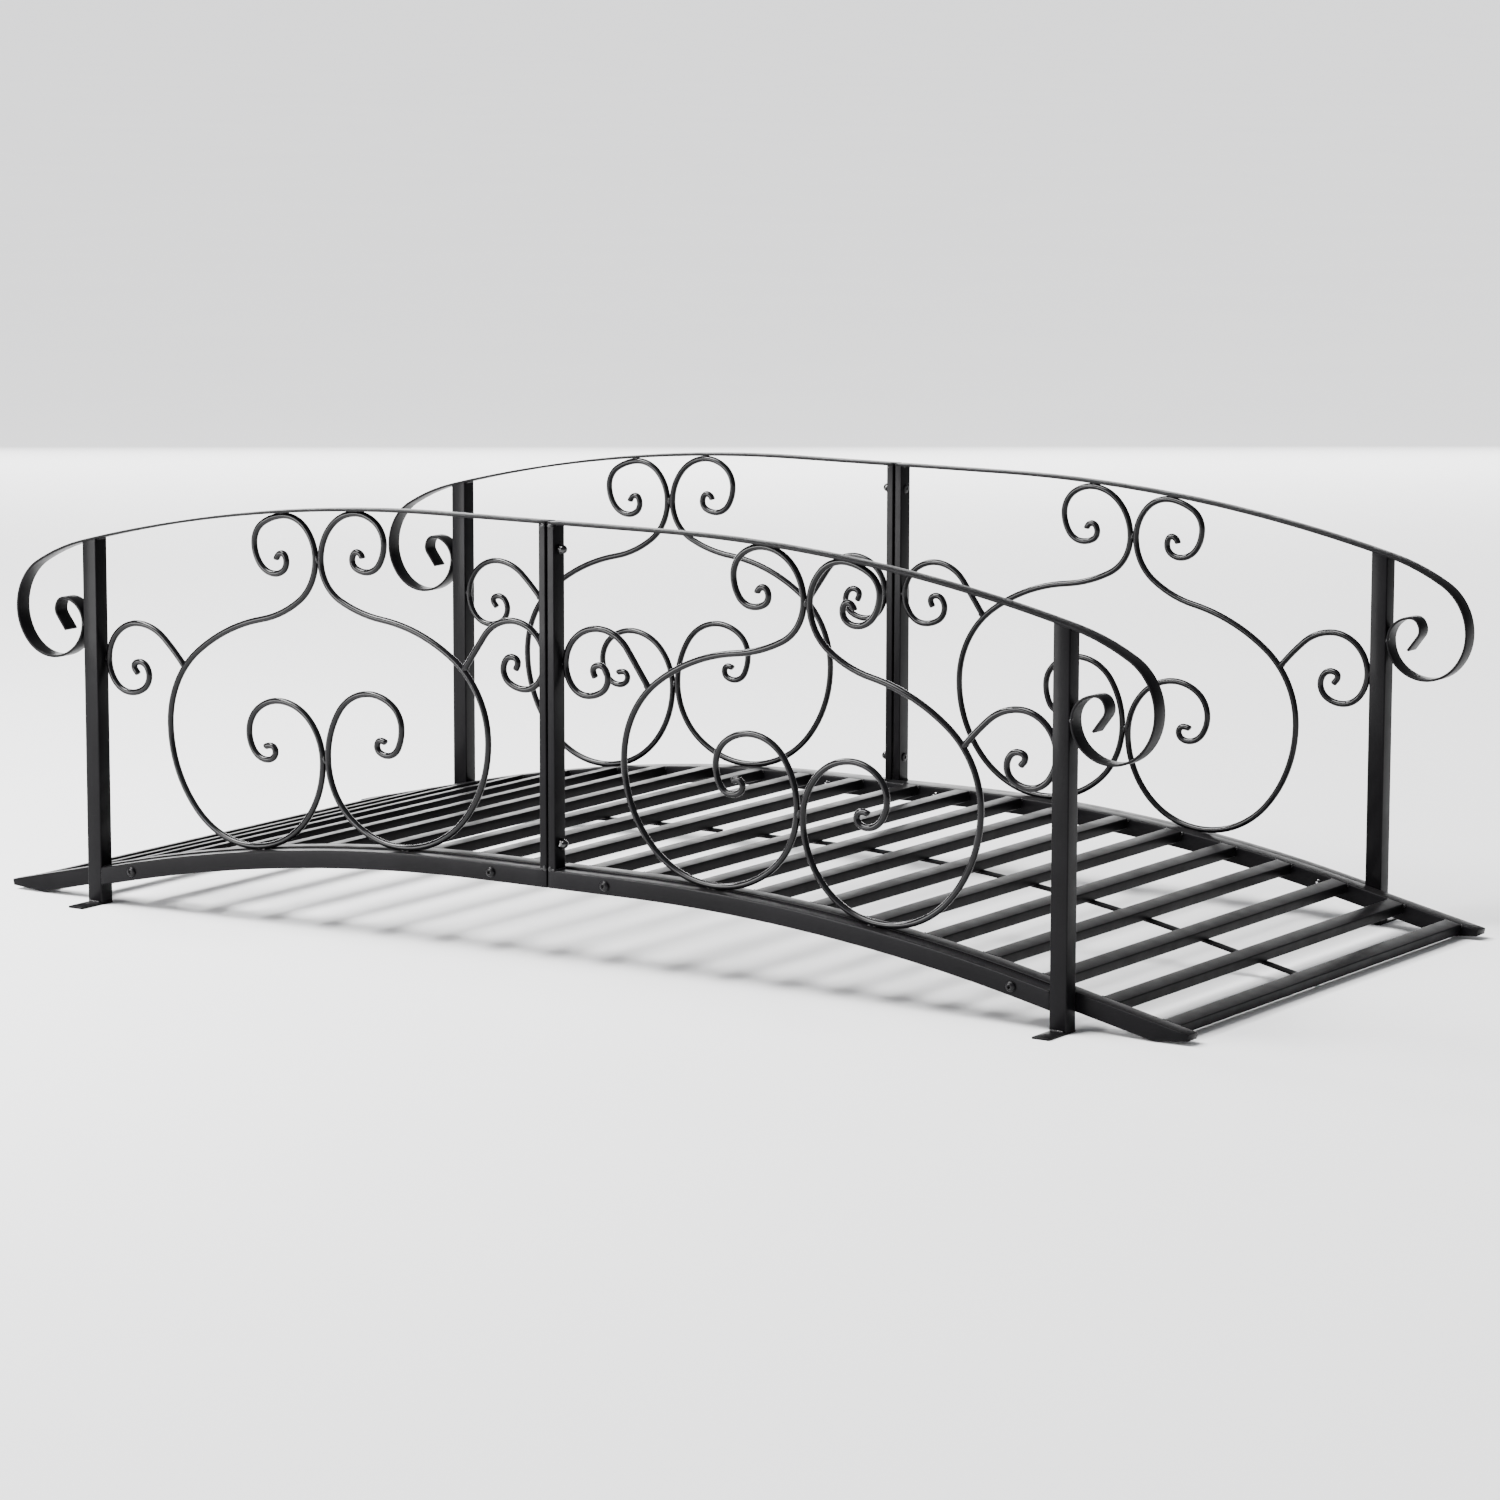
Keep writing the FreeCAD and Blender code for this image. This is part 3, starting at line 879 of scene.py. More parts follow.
class SlatRecipe(Recipe):
    """Sets a tube across the deck at every point, tipped by the tilt attribute.

    Attributes:
        SECTIONS: Points along a slat.
        CORNER_STEPS: Segments of a corner.
    """

    SECTIONS = 17
    CORNER_STEPS = 4

    def __init__(self) -> None:
        """Builds the tree."""
        super().__init__("deck_slats", {
            "Slat Length": "NodeSocketFloat", "Slat Width": "NodeSocketFloat",
            "Slat Height": "NodeSocketFloat", "Corner": "NodeSocketFloat",
            "Bow": "NodeSocketFloat", "Seed": "NodeSocketInt"})
        half = self.math("MULTIPLY", self.given("Slat Length"), 0.5)
        start = self.node("ShaderNodeCombineXYZ", {"Y": self.math("MULTIPLY", half, -1.0)})
        stop = self.node("ShaderNodeCombineXYZ", {"Y": half})
        line = self.node("CurvePrimitiveLine", {"Start": start.outputs[0], "End": stop.outputs[0]})
        spread = self.node("ResampleCurve", {"Curve": line.outputs[0], "Count": self.SECTIONS})
        shape = self.rounded_box("Slat Width", "Slat Height", "Corner", self.CORNER_STEPS)
        tube = self.sweep(self.facing(spread.outputs[0], (1.0, 0.0, 0.0)), shape)
        tilt = self.node("InputNamedAttribute", {"Name": "tilt"}, data_type="FLOAT")
        lean = self.node("FunctionNodeRandomValue", {
            2: self.math("MULTIPLY", self.given("Bow"), -1.0), 3: self.given("Bow"),
            "Seed": self.given("Seed")}, data_type="FLOAT")
        turn = self.node("ShaderNodeCombineXYZ", {"Y": tilt.outputs[0], "Z": lean.outputs[1]})
        spin = self.node("FunctionNodeEulerToRotation", {0: turn.outputs[0]})
        rows = self.node("InstanceOnPoints", {
            "Points": self.given("Geometry"), "Instance": tube, "Rotation": spin.outputs[0]})
        self.finish(self.smooth(rows.outputs[0]))


class FastenerRecipe(Recipe):
    """Sets a fastener at every point, turned by the aim attribute, each at its own clock angle."""

    def __init__(self) -> None:
        """Builds the tree."""
        super().__init__("fasteners", {"Fastener": "NodeSocketObject", "Seed": "NodeSocketInt"})
        part = self.node("ObjectInfo", {"Object": self.given("Fastener")})
        aim = self.node("InputNamedAttribute", {"Name": "aim"}, data_type="FLOAT_VECTOR")
        facing = self.node("FunctionNodeAlignRotationToVector", {"Vector": aim.outputs[0]},
                           axis="Z")
        clock = self.node("FunctionNodeRandomValue", {
            2: 0.0, 3: math.tau / 6, "Seed": self.given("Seed")}, data_type="FLOAT")
        about = self.node("ShaderNodeCombineXYZ", {"Z": clock.outputs[1]})
        twist = self.node("FunctionNodeEulerToRotation", {0: about.outputs[0]})
        spin = self.node("FunctionNodeRotateRotation", {0: facing.outputs[0], 1: twist.outputs[0]},
                         rotation_space="LOCAL")
        rows = self.node("InstanceOnPoints", {
            "Points": self.given("Geometry"), "Instance": part.outputs["Geometry"],
            "Rotation": spin.outputs[0]})
        self.finish(rows.outputs[0])

    def rows(self, fastener: bpy.types.Mesh, spots: Sequence[tuple[Vector, Vector]], seed: int,
             material: bpy.types.Material) -> bpy.types.Mesh:
        """Copies of a fastener.

        Args:
            fastener: Its mesh, with the bearing face at z = 0 and the head up.
            spots: Place and outward direction of each.
            seed: Seed of their clock angles.
            material: Their finish.

        Returns:
            One mesh of them all.
        """
        pattern = linked("pattern", fastener)
        mesh = spots_mesh([spot for spot, _ in spots], "aim", [way for _, way in spots])
        made = self.make(mesh, Fastener=pattern, Seed=seed, Material=material)
        bpy.data.objects.remove(pattern)
        return made


class WeldRecipe(Recipe):
    """Runs a rippled bead along every line of edges.

    Attributes:
        SIDES: Sides of a bead.
        VALLEY: Width between two ripples, as a share of the whole.
        JITTER: How far the width wanders, as a share.
        TAPER: How fast the ends close; larger is faster.
        END: Least width at an end, before the root that rounds it.
    """

    SIDES = 10
    VALLEY = 0.8
    JITTER = 0.08
    TAPER = 40.0
    END = 0.05

    def __init__(self) -> None:
        """Builds the tree."""
        super().__init__("weld_bead", {
            "Bead Width": "NodeSocketFloat", "Ripple Pitch": "NodeSocketFloat",
            "Ripple Depth": "NodeSocketFloat", "Seed": "NodeSocketInt"})
        line = self.node("MeshToCurve", {"Mesh": self.given("Geometry")})
        dense = self.node("ResampleCurve", {
            "Curve": line.outputs[0],
            "Length": self.math("MULTIPLY", self.given("Ripple Pitch"), 0.25)}, mode="LENGTH")
        along = self.node("SplineParameter")
        phase = self.math("DIVIDE", self.math("MULTIPLY", along.outputs["Length"], math.pi),
                          self.given("Ripple Pitch"))
        ripple = self.math("MULTIPLY", self.math("ABSOLUTE", self.math("SINE", phase)),
                           self.given("Ripple Depth"))
        jitter = self.node("FunctionNodeRandomValue", {
            2: -self.JITTER, 3: self.JITTER, "Seed": self.given("Seed")}, data_type="FLOAT")
        body = self.math("ADD", self.math("ADD", ripple, jitter.outputs[1]), self.VALLEY)
        share = along.outputs["Factor"]
        middling = self.math("MULTIPLY", share, self.math("SUBTRACT", 1.0, share))
        ends = self.math("ADD", self.math("MULTIPLY", middling, self.TAPER), self.END)
        round_off = self.math("POWER", self.math("MINIMUM", ends, 1.0), 0.5)
        scale = self.math("MULTIPLY", body, round_off)
        swept = self.sweep(dense.outputs[0], self.ring("Bead Width", self.SIDES), scale)
        smooth = self.node("SetShadeSmooth", {"Geometry": swept})
        self.finish(smooth.outputs[0])


class TackRecipe(Recipe):
    """Sets a lumpy tack weld at every point, sized by the size attribute.

    Attributes:
        DETAIL: Subdivisions of the ball that a tack starts from.
        TURN: Most that each tack is turned about each axis, in radians.
        LUMPS: Lumps a metre.
    """

    DETAIL = 3
    TURN = 0.3
    LUMPS = 320.0

    def __init__(self) -> None:
        """Builds the tree."""
        super().__init__("tack_welds", {"Lump": "NodeSocketFloat", "Seed": "NodeSocketInt"})
        ball = self.node("MeshIcoSphere", {"Radius": 1.0, "Subdivisions": self.DETAIL})
        size = self.node("InputNamedAttribute", {"Name": "size"}, data_type="FLOAT_VECTOR")
        spin = self.node("FunctionNodeRandomValue", {
            0: (0.0, 0.0, 0.0), 1: (self.TURN,) * 3, "Seed": self.given("Seed")},
            data_type="FLOAT_VECTOR")
        rows = self.node("InstanceOnPoints", {
            "Points": self.given("Geometry"), "Instance": ball.outputs[0],
            "Rotation": spin.outputs[0], "Scale": size.outputs[0]})
        whole = self.node("RealizeInstances", {"Geometry": rows.outputs[0]})
        place_at = self.node("InputPosition").outputs[0]
        rough = self.node("ShaderNodeTexNoise", {"Vector": place_at, "Scale": self.LUMPS})
        swing = self.math("MULTIPLY", self.math("SUBTRACT", rough.outputs[0], 0.5),
                          self.given("Lump"))
        out = self.node("ShaderNodeVectorMath", {0: self.node("InputNormal").outputs[0],
                                                 "Scale": swing}, operation="SCALE")
        moved = self.node("SetPosition", {"Geometry": whole.outputs[0], "Offset": out.outputs[0]})
        smooth = self.node("SetShadeSmooth", {"Geometry": moved.outputs[0]})
        self.finish(smooth.outputs[0])


@dataclass(frozen=True)
class Recipes:
    """Every tree, built once.

    Attributes:
        round_bar: Scrolls.
        section: Tubes and flat bars.
        slats: Slats.
        fasteners: Screws and nuts.
        bead: Weld beads.
        tack: Tack welds.
    """

    round_bar: RoundBarRecipe
    section: SectionRecipe
    slats: SlatRecipe
    fasteners: FastenerRecipe
    bead: WeldRecipe
    tack: TackRecipe

    @classmethod
    def write(cls) -> "Recipes":
        """Builds the trees."""
        return cls(RoundBarRecipe(), SectionRecipe(), SlatRecipe(), FastenerRecipe(), WeldRecipe(),
                   TackRecipe())


# ------------------------------------------------------------ shared sizes
@dataclass(frozen=True)
class Plan:
    """Sizes that several sub-assemblies share.

    Attributes:
        half_length: Middle of the bridge to the outer face of an end post.
        half_width: Middle of the walkway to the outer face of a post.
        post: Width of a post, both ways.
        post_corner: Rounding of its long edges.
        half_post: Width of each half of a centre post, along X.
        joint_gap: Between the two halves of the bridge.
        bar: Width of a lower bar and of a side tube, both ways.
        bar_corner: Rounding of their long edges.
        rail_thick: Thickness of the hand rail.
        rod: Diameter of the scrolls' bar.
        weld_gap: Left between pieces that are welded together.
        deck_lift: Side tubes above the lower bars beside them.
        seam: Between the deck and the railings.
        toe_clear: Lowest point of the deck above the ground.
        toe_length: From that point to the tip of the deck.
        toe_rise: Upward cut under the tip, in degrees.
        tab_thick: Thickness of a foot plate.
        bar_line: Underside of the lower bars.
        rail_line: Top of the hand rails.
    """

    half_length: float = 0.806
    half_width: float = 0.452
    post: float = 0.025
    post_corner: float = 0.002
    half_post: float = 0.0112
    joint_gap: float = 0.003
    bar: float = 0.025
    bar_corner: float = 0.002
    rail_thick: float = 0.0035
    rod: float = 0.009
    weld_gap: float = 0.0002
    deck_lift: float = 0.0025
    seam: float = 0.0003
    toe_clear: float = 0.0015
    toe_length: float = 0.050
    toe_rise: float = 5.0
    tab_thick: float = 0.003
    bar_line: Arch = Arch(0.1058, 0.118, 0.742, 0.0686)
    rail_line: Arch = Arch(0.602, 0.180, 0.806, 0.0788)

    @property
    def inner_face(self) -> float:
        """Deck side of the railings."""
        return self.half_width - self.post

    @property
    def post_y(self) -> float:
        """Middle plane of the front railing."""
        return -(self.half_width - self.post / 2)

    @property
    def rod_y(self) -> float:
        """Plane of the scrolls' centre lines."""
        return -(self.inner_face + self.rod / 2)

    @property
    def post_inner_x(self) -> float:
        """Inner side of an end post."""
        return self.half_length - self.post

    @property
    def centre_face_x(self) -> float:
        """Outer side of a half post."""
        return self.joint_gap / 2 + self.half_post

    @property
    def clear_span(self) -> float:
        """Space between the posts of one panel."""
        return self.post_inner_x - self.centre_face_x

    @property
    def reach(self) -> float:
        """Centre line of a rod to what it is welded to."""
        return self.rod / 2 + self.weld_gap / 2

    @property
    def toe_x(self) -> float:
        """Lowest point of the deck's side bars."""
        bend_end = self.bar_line.bend_end
        drop = self.bar_line.height(bend_end) + self.deck_lift - self.toe_clear
        return bend_end + drop / math.tan(math.radians(self.bar_line.slope(bend_end)))

    @property
    def deck_end(self) -> float:
        """Tip of the deck."""
        return self.toe_x + self.toe_length

    def bar_top(self, x: float) -> float:
        """Top of the lower bar."""
        return self.bar_line.offset(x, self.bar)

    def rail_under(self, x: float) -> float:
        """Underside of the hand rail."""
        return self.rail_line.offset(x, -self.rail_thick)

    def across(self, share: float) -> float:
        """Place in the panel as a share of its clear span."""
        return self.centre_face_x + share * self.clear_span

    def up(self, x: float, share: float) -> float:
        """Height at x as a share from the lower bar to the rail."""
        low = self.bar_top(x)
        return low + share * (self.rail_under(x) - low)

    def free(self, across: float, up: float, heading: float) -> Triple:
        """Station inside the panel, by its two shares."""
        x = self.across(across)
        return (x, self.up(x, up), heading)

    def under_rail(self, share: float, outward: bool) -> Triple:
        """Station where a scroll runs along the rail's underside."""
        x = self.across(share)
        slope = self.rail_line.slope(x)
        z = self.rail_under(x) - self.reach / math.cos(math.radians(slope))
        return (x, z, -slope if outward else 180.0 - slope)

    def on_bar(self, share: float, outward: bool) -> Triple:
        """Station where a scroll runs along the lower bar's top."""
        x = self.across(share)
        slope = self.bar_line.slope(x)
        z = self.bar_top(x) + self.reach / math.cos(math.radians(slope))
        return (x, z, -slope if outward else 180.0 - slope)


# ---------------------------------------------------------- sub-assemblies
@dataclass
class Posts:
    """End posts with their feet, and the halves of the centre posts.

    Attributes:
        plan: Shared sizes.
        tab_reach: Foot plate beyond the post's outer face.
        tab_corner: Rounding of the foot plate's corners.
        half_corner: Rounding of a half post's long edges.
        corner_steps: Segments of that rounding.
        spare: Length that the mitre cuts off.
    """

    plan: Plan
    tab_reach: float = 0.043
    tab_corner: float = 0.0006
    half_corner: float = 0.0015
    corner_steps: int = 6
    spare: float = 0.01

    def tube(self, x0: float, x1: float, z0: float, corner: float, recipes: Recipes,
             material: bpy.types.Material) -> bpy.types.Mesh:
        """A tube that stands at z0 and is mitred to the rail's underside."""
        plan = self.plan
        x = (x0 + x1) / 2
        top = plan.rail_under(x0) + self.spare
        mesh = recipes.section.section([Vector((x, 0, z0)), Vector((x, 0, top))], plan.post_y,
                                       plan.post, x1 - x0, corner, material, self.corner_steps)
        trim(mesh, Vector((x, 0, plan.rail_under(x) + CUT_CLEAR)), normal(-plan.rail_line.slope(x)))
        return soften(mesh, TUBE_EASE)

    def build(self, recipes: Recipes, finishes: Finishes) -> None:
        """Makes the posts and feet of all four quarters."""
        plan = self.plan
        end = self.tube(plan.post_inner_x, plan.half_length, plan.tab_thick, plan.post_corner,
                        recipes, finishes.tube)
        middle = self.tube(plan.joint_gap / 2, plan.centre_face_x, plan.bar_line.crown + plan.bar,
                           self.half_corner, recipes, finishes.tube)
        place_all(Slot.TUBE, (end, "end_post_tube", "end_post"),
                  (middle, "middle_post_tube", "centre_post"),
                  (self.foot(recipes, finishes.tube), "foot_plate", "foot_tab"))

    def foot(self, recipes: Recipes, material: bpy.types.Material) -> bpy.types.Mesh:
        """The flat plate under a post, sheared from strip, with eased edges."""
        plan = self.plan
        depth = plan.post + self.tab_reach
        line = [Vector((plan.post_inner_x, 0, plan.tab_thick / 2)),
                Vector((plan.half_length, 0, plan.tab_thick / 2))]
        y = -(plan.half_width + self.tab_reach) + depth / 2
        mesh = recipes.section.section(line, y, depth, plan.tab_thick, self.tab_corner, material,
                                       FLAT_BAR_STEPS)
        return soften(mesh, TUBE_EASE)


@dataclass
class HandRail:
    """The flat rail over each panel, rolled into a volute beyond the end post.

    Attributes:
        plan: Shared sizes.
        reach: End post to the volute's outermost point.
        waist: Rail's end down to that point.
        drop: From there down to the lowest point.
        foot: End post to the lowest point.
        rise: Lowest point up to where it meets the post.
        hook: Rise, run in, run out and fall of the inner hook.
        turn: Length and heading of the hook's last bend.
        tail: Length and heading of its straight cut end.
        edge: Rounding of the bar's long edges.
        step_angle: Most degrees turned between two sections.
    """

    plan: Plan
    reach: float = 0.124
    waist: float = 0.104
    drop: float = 0.069
    foot: float = 0.059
    rise: float = 0.054
    hook: tuple[float, float, float, float] = (0.035, 0.037, 0.053, 0.019)
    turn: tuple[float, float] = (0.0105, -110.0)
    tail: tuple[float, float] = (0.0245, -127.0)
    edge: float = 0.0008
    step_angle: float = 4.0

    def line(self) -> BentLine:
        """Top surface of the rail, from the middle joint to the tail of its hook."""
        plan = self.plan
        x, z = plan.half_length, plan.rail_line.height(plan.half_length)
        low = z - self.waist
        bottom = low - self.drop
        kiss = bottom + self.rise
        up, run_in, run_out, fall = self.hook
        stations = plan.rail_line.stations(plan.joint_gap / 2, x)
        stations += [(x + self.reach, low, -90.0), (x + self.foot, bottom, 180.0),
                     (x + plan.weld_gap, kiss, 90.0), (x + run_in, kiss + up, 0.0),
                     (x + run_out, kiss + up - fall, -90.0)]
        (turn, turn_heading), (tail, tail_heading) = self.turn, self.tail
        turn_end = Vector((x + run_out, 0, kiss + up - fall)) + direction(turn_heading) * turn
        tail_end = turn_end + direction(tail_heading) * tail
        stations += [(turn_end.x, turn_end.z, tail_heading), (tail_end.x, tail_end.z, tail_heading)]
        return BentLine(stations)

    def build(self, recipes: Recipes, finishes: Finishes) -> None:
        """Makes the rail of all four quarters."""
        plan = self.plan
        middle = self.line().beside(-plan.rail_thick / 2, self.step_angle)
        mesh = recipes.section.section(middle, plan.post_y, plan.post, plan.rail_thick, self.edge,
                                       finishes.rail, FLAT_BAR_STEPS)
        place_all(Slot.RAIL, (soften(mesh, STRIP_EASE, STRIP_ANGLE), "hand_rail", "top_rail"))


@dataclass
class LowerBars:
    """The square tube under each panel.

    Attributes:
        plan: Shared sizes.
    """

    plan: Plan

    def build(self, recipes: Recipes, finishes: Finishes) -> None:
        """Makes the lower bar of all four quarters."""
        plan = self.plan
        line = BentLine(plan.bar_line.stations(plan.joint_gap / 2, plan.half_length))
        mesh = recipes.section.section(line.beside(plan.bar / 2), plan.post_y, plan.post, plan.bar,
                                       plan.bar_corner, finishes.tube)
        trim(mesh, Vector((plan.post_inner_x + CUT_CLEAR, 0, 0)), Vector((1, 0, 0)))
        place_all(Slot.TUBE, (soften(mesh, TUBE_EASE), "lower_bar_tube", "lower_bar"))


@dataclass
class Scrollwork:
    """The bent round bars of each panel: a pair of long scrolls and a branch from each.

    Places are shares of the panel: across it from the middle post, and up it
    from the lower bar. Pairs hold the inner scroll's value and the outer one's.

    Attributes:
        plan: Shared sizes.
        touch_top: Where the pair meets at the top, across the panel.
        touch_low: Where it meets at the bottom.
        under_rail: Where each scroll runs along the rail.
        on_bar: Where each scroll runs along the lower bar.
        branch_in: Where the inner scroll's branch leaves it, across and up.
        branch_out: Where the outer scroll's branch leaves it, across and up.
        step: Most degrees and metres between two points of a bar.
    """

    plan: Plan
    touch_top: float = 0.504
    touch_low: float = 0.492
    under_rail: tuple[float, float] = (0.420, 0.584)
    on_bar: tuple[float, float] = (0.313, 0.641)
    branch_in: tuple[float, float] = (0.175, 0.560)
    branch_out: tuple[float, float] = (0.820, 0.577)
    step: tuple[float, float] = (4.0, 0.012)

    def inner(self) -> BentLine:
        """The long bar on the middle post's side."""
        p = self.plan
        top_x = p.across(self.touch_top) - p.reach
        low_x = p.across(self.touch_low) - p.reach
        return BentLine([
            p.free(0.404, 0.858, 80), p.free(0.416, 0.877, 0), p.free(0.427, 0.854, -90),
            p.free(0.397, 0.818, 180), p.free(0.356, 0.900, 90),
            p.under_rail(self.under_rail[0], True),
            (top_x, p.up(top_x, 0.855), -90), p.free(0.361, 0.680, 186),
            p.free(0.129, 0.341, 270), p.on_bar(self.on_bar[0], True),
            (low_x, p.up(low_x, 0.271), 90), p.free(0.390, 0.460, 180), p.free(0.320, 0.359, 270),
            p.free(0.353, 0.280, 0), p.free(0.375, 0.308, 90), p.free(0.366, 0.324, 180),
            p.free(0.355, 0.317, 220)])

    def outer(self) -> BentLine:
        """The long bar on the end post's side."""
        p = self.plan
        top_x = p.across(self.touch_top) + p.reach
        low_x = p.across(self.touch_low) + p.reach
        return BentLine([
            p.free(0.599, 0.861, 100), p.free(0.586, 0.879, 180), p.free(0.576, 0.852, 270),
            p.free(0.603, 0.820, 0), p.free(0.649, 0.918, 90),
            p.under_rail(self.under_rail[1], False),
            (top_x, p.up(top_x, 0.856), 270), p.free(0.634, 0.688, -12),
            p.free(0.850, 0.407, -90), p.on_bar(self.on_bar[1], False),
            (low_x, p.up(low_x, 0.255), 90), p.free(0.595, 0.442, 0), p.free(0.666, 0.357, -90),
            p.free(0.626, 0.269, 180), p.free(0.606, 0.291, 90), p.free(0.616, 0.310, 0),
            p.free(0.630, 0.307, -40)])

    def starts(self) -> tuple[Vector, Vector]:
        """Where the two branches start, on the centre lines of the lobes."""
        p = self.plan
        pairs = ((self.inner(), self.branch_in), (self.outer(), self.branch_out))
        start_in, start_out = (lobe.nearest(p.across(x), p.up(p.across(x), up))
                               for lobe, (x, up) in pairs)
        return start_in, start_out

    def branches(self) -> list[BentLine]:
        """The small scrolls that leave the lobes and touch the posts."""
        p = self.plan
        start_in, start_out = self.starts()
        in_x, out_x = p.centre_face_x + p.reach, p.post_inner_x - p.reach
        return [
            BentLine([(start_in.x, start_in.z, 125), p.free(0.075, 0.706, 180),
                      (in_x, p.up(in_x, 0.598), 270), p.free(0.051, 0.510, 0),
                      p.free(0.095, 0.564, 90), p.free(0.077, 0.601, 180),
                      p.free(0.064, 0.585, 270), p.free(0.069, 0.564, -60)]),
            BentLine([(start_out.x, start_out.z, 50), p.free(0.923, 0.721, 0),
                      (out_x, p.up(out_x, 0.632), -90), p.free(0.943, 0.517, 180),
                      p.free(0.899, 0.557, 90), p.free(0.920, 0.604, 0),
                      p.free(0.934, 0.595, -90), p.free(0.925, 0.568, -125)])]

    def build(self, recipes: Recipes, finishes: Finishes) -> None:
        """Makes the scrolls of all four quarters."""
        plan = self.plan
        inner, outer, *branches = [
            recipes.round_bar.bar(line.beside(0.0, *self.step), plan.rod_y, plan.rod, finishes.rod)
            for line in (self.inner(), self.outer(), *self.branches())]
        place_all(Slot.ROD, (inner, "scroll_rod_inner", "scroll_inner"),
                  (outer, "scroll_rod_outer", "scroll_outer"),
                  (joined(branches), "branch_rods", "branch_scrolls"))


@dataclass
class Deck:
    """Side tubes, slats and the strap under the slats.

    Attributes:
        plan: Shared sizes.
        slat: Width, height and corner of a slat.
        count: Slats in each half.
        first: Middle of the bridge to the first slat.
        tip_to_slat: Tip of the deck to the last slat.
        strap: Width and thickness of the strap.
        strap_start: Where the strap begins.
        strap_corner: Radius of its long edges.
        bow: How far out of square a slat may be welded, in radians.
        seed: Seed of the right half; the left half's is one more.
    """

    plan: Plan
    slat: tuple[float, float, float] = (0.025, 0.015, 0.0018)
    count: int = 11
    first: float = 0.048
    tip_to_slat: float = 0.032
    strap: tuple[float, float] = (0.012, 0.004)
    strap_start: float = 0.020
    strap_corner: float = 0.0006
    bow: float = 0.0006
    seed: int = 11

    @property
    def slat_x(self) -> list[float]:
        """Middles of the slats."""
        last = self.plan.deck_end - self.tip_to_slat
        pitch = (last - self.first) / (self.count - 1)
        return [self.first + pitch * i for i in range(self.count)]

    @property
    def side_y(self) -> float:
        """Outer face of the front side tube."""
        return -(self.plan.inner_face - self.plan.seam)

    @property
    def slat_half(self) -> float:
        """Half the length of a slat."""
        return -self.side_y - self.plan.bar - self.plan.weld_gap

    def top(self, x: float) -> float:
        """Top of the deck."""
        return self.plan.bar_top(x) + self.plan.deck_lift

    def side_tube(self, recipes: Recipes, material: bpy.types.Material) -> bpy.types.Mesh:
        """One side tube, with the upward cut under its tip and its end closed."""
        plan = self.plan
        line = BentLine(plan.bar_line.stations(plan.joint_gap / 2, plan.deck_end))
        middle = line.beside(plan.bar / 2, lift=plan.deck_lift)
        mesh = recipes.section.section(middle, self.side_y + plan.bar / 2, plan.bar, plan.bar,
                                       plan.bar_corner, material)
        trim(mesh, Vector((plan.toe_x, 0, plan.toe_clear)), -normal(plan.toe_rise))
        return soften(mesh, TIP_EASE)

    def slats(self, recipes: Recipes, material: bpy.types.Material, seed: int) -> bpy.types.Mesh:
        """The slats of one half."""
        width, height, corner = self.slat
        slopes = [self.plan.bar_line.slope(x) for x in self.slat_x]
        spots = [Vector((x, 0, self.top(x))) - normal(-slope) * (height / 2)
                 for x, slope in zip(self.slat_x, slopes)]
        mesh = spots_mesh(spots, "tilt", [math.radians(slope) for slope in slopes])
        return recipes.slats.make(mesh, Slat_Length=2 * self.slat_half, Slat_Width=width,
                                  Slat_Height=height, Corner=corner, Bow=self.bow, Seed=seed,
                                  Material=material)

    def strap_bar(self, recipes: Recipes, material: bpy.types.Material) -> bpy.types.Mesh:
        """The strap that ties the slats together underneath."""
        plan = self.plan
        wide, thick = self.strap
        end = self.slat_x[-1] - self.slat[0] / 2
        under = plan.bar - self.slat[1] - plan.weld_gap - thick / 2
        line = BentLine(plan.bar_line.stations(self.strap_start, end))
        middle = line.beside(under, lift=plan.deck_lift)
        mesh = recipes.section.section(middle, 0.0, wide, thick, self.strap_corner, material,
                                       FLAT_BAR_STEPS)
        return soften(mesh, STRIP_EASE, STRIP_ANGLE)

    def build(self, recipes: Recipes, finishes: Finishes) -> None:
        """Makes the whole deck."""
        place_all(Slot.DECK, (self.side_tube(recipes, finishes.deck), "deck_side_tube", "deck_bar"))
        strap = self.strap_bar(recipes, finishes.deck)
        for seed, (quarter, half) in enumerate(((Quarter.FRONT_RIGHT, "right"),
                                                (Quarter.FRONT_LEFT, "left"))):
            row = self.slats(recipes, finishes.deck, self.seed + seed)
            finished(mirrored(row, quarter), "deck_slat_row_" + half, Slot.DECK, "slats_" + half)
            finished(mirrored(strap, quarter), "deck_strap_" + half, Slot.DECK,
                     "deck_stringer_" + half)


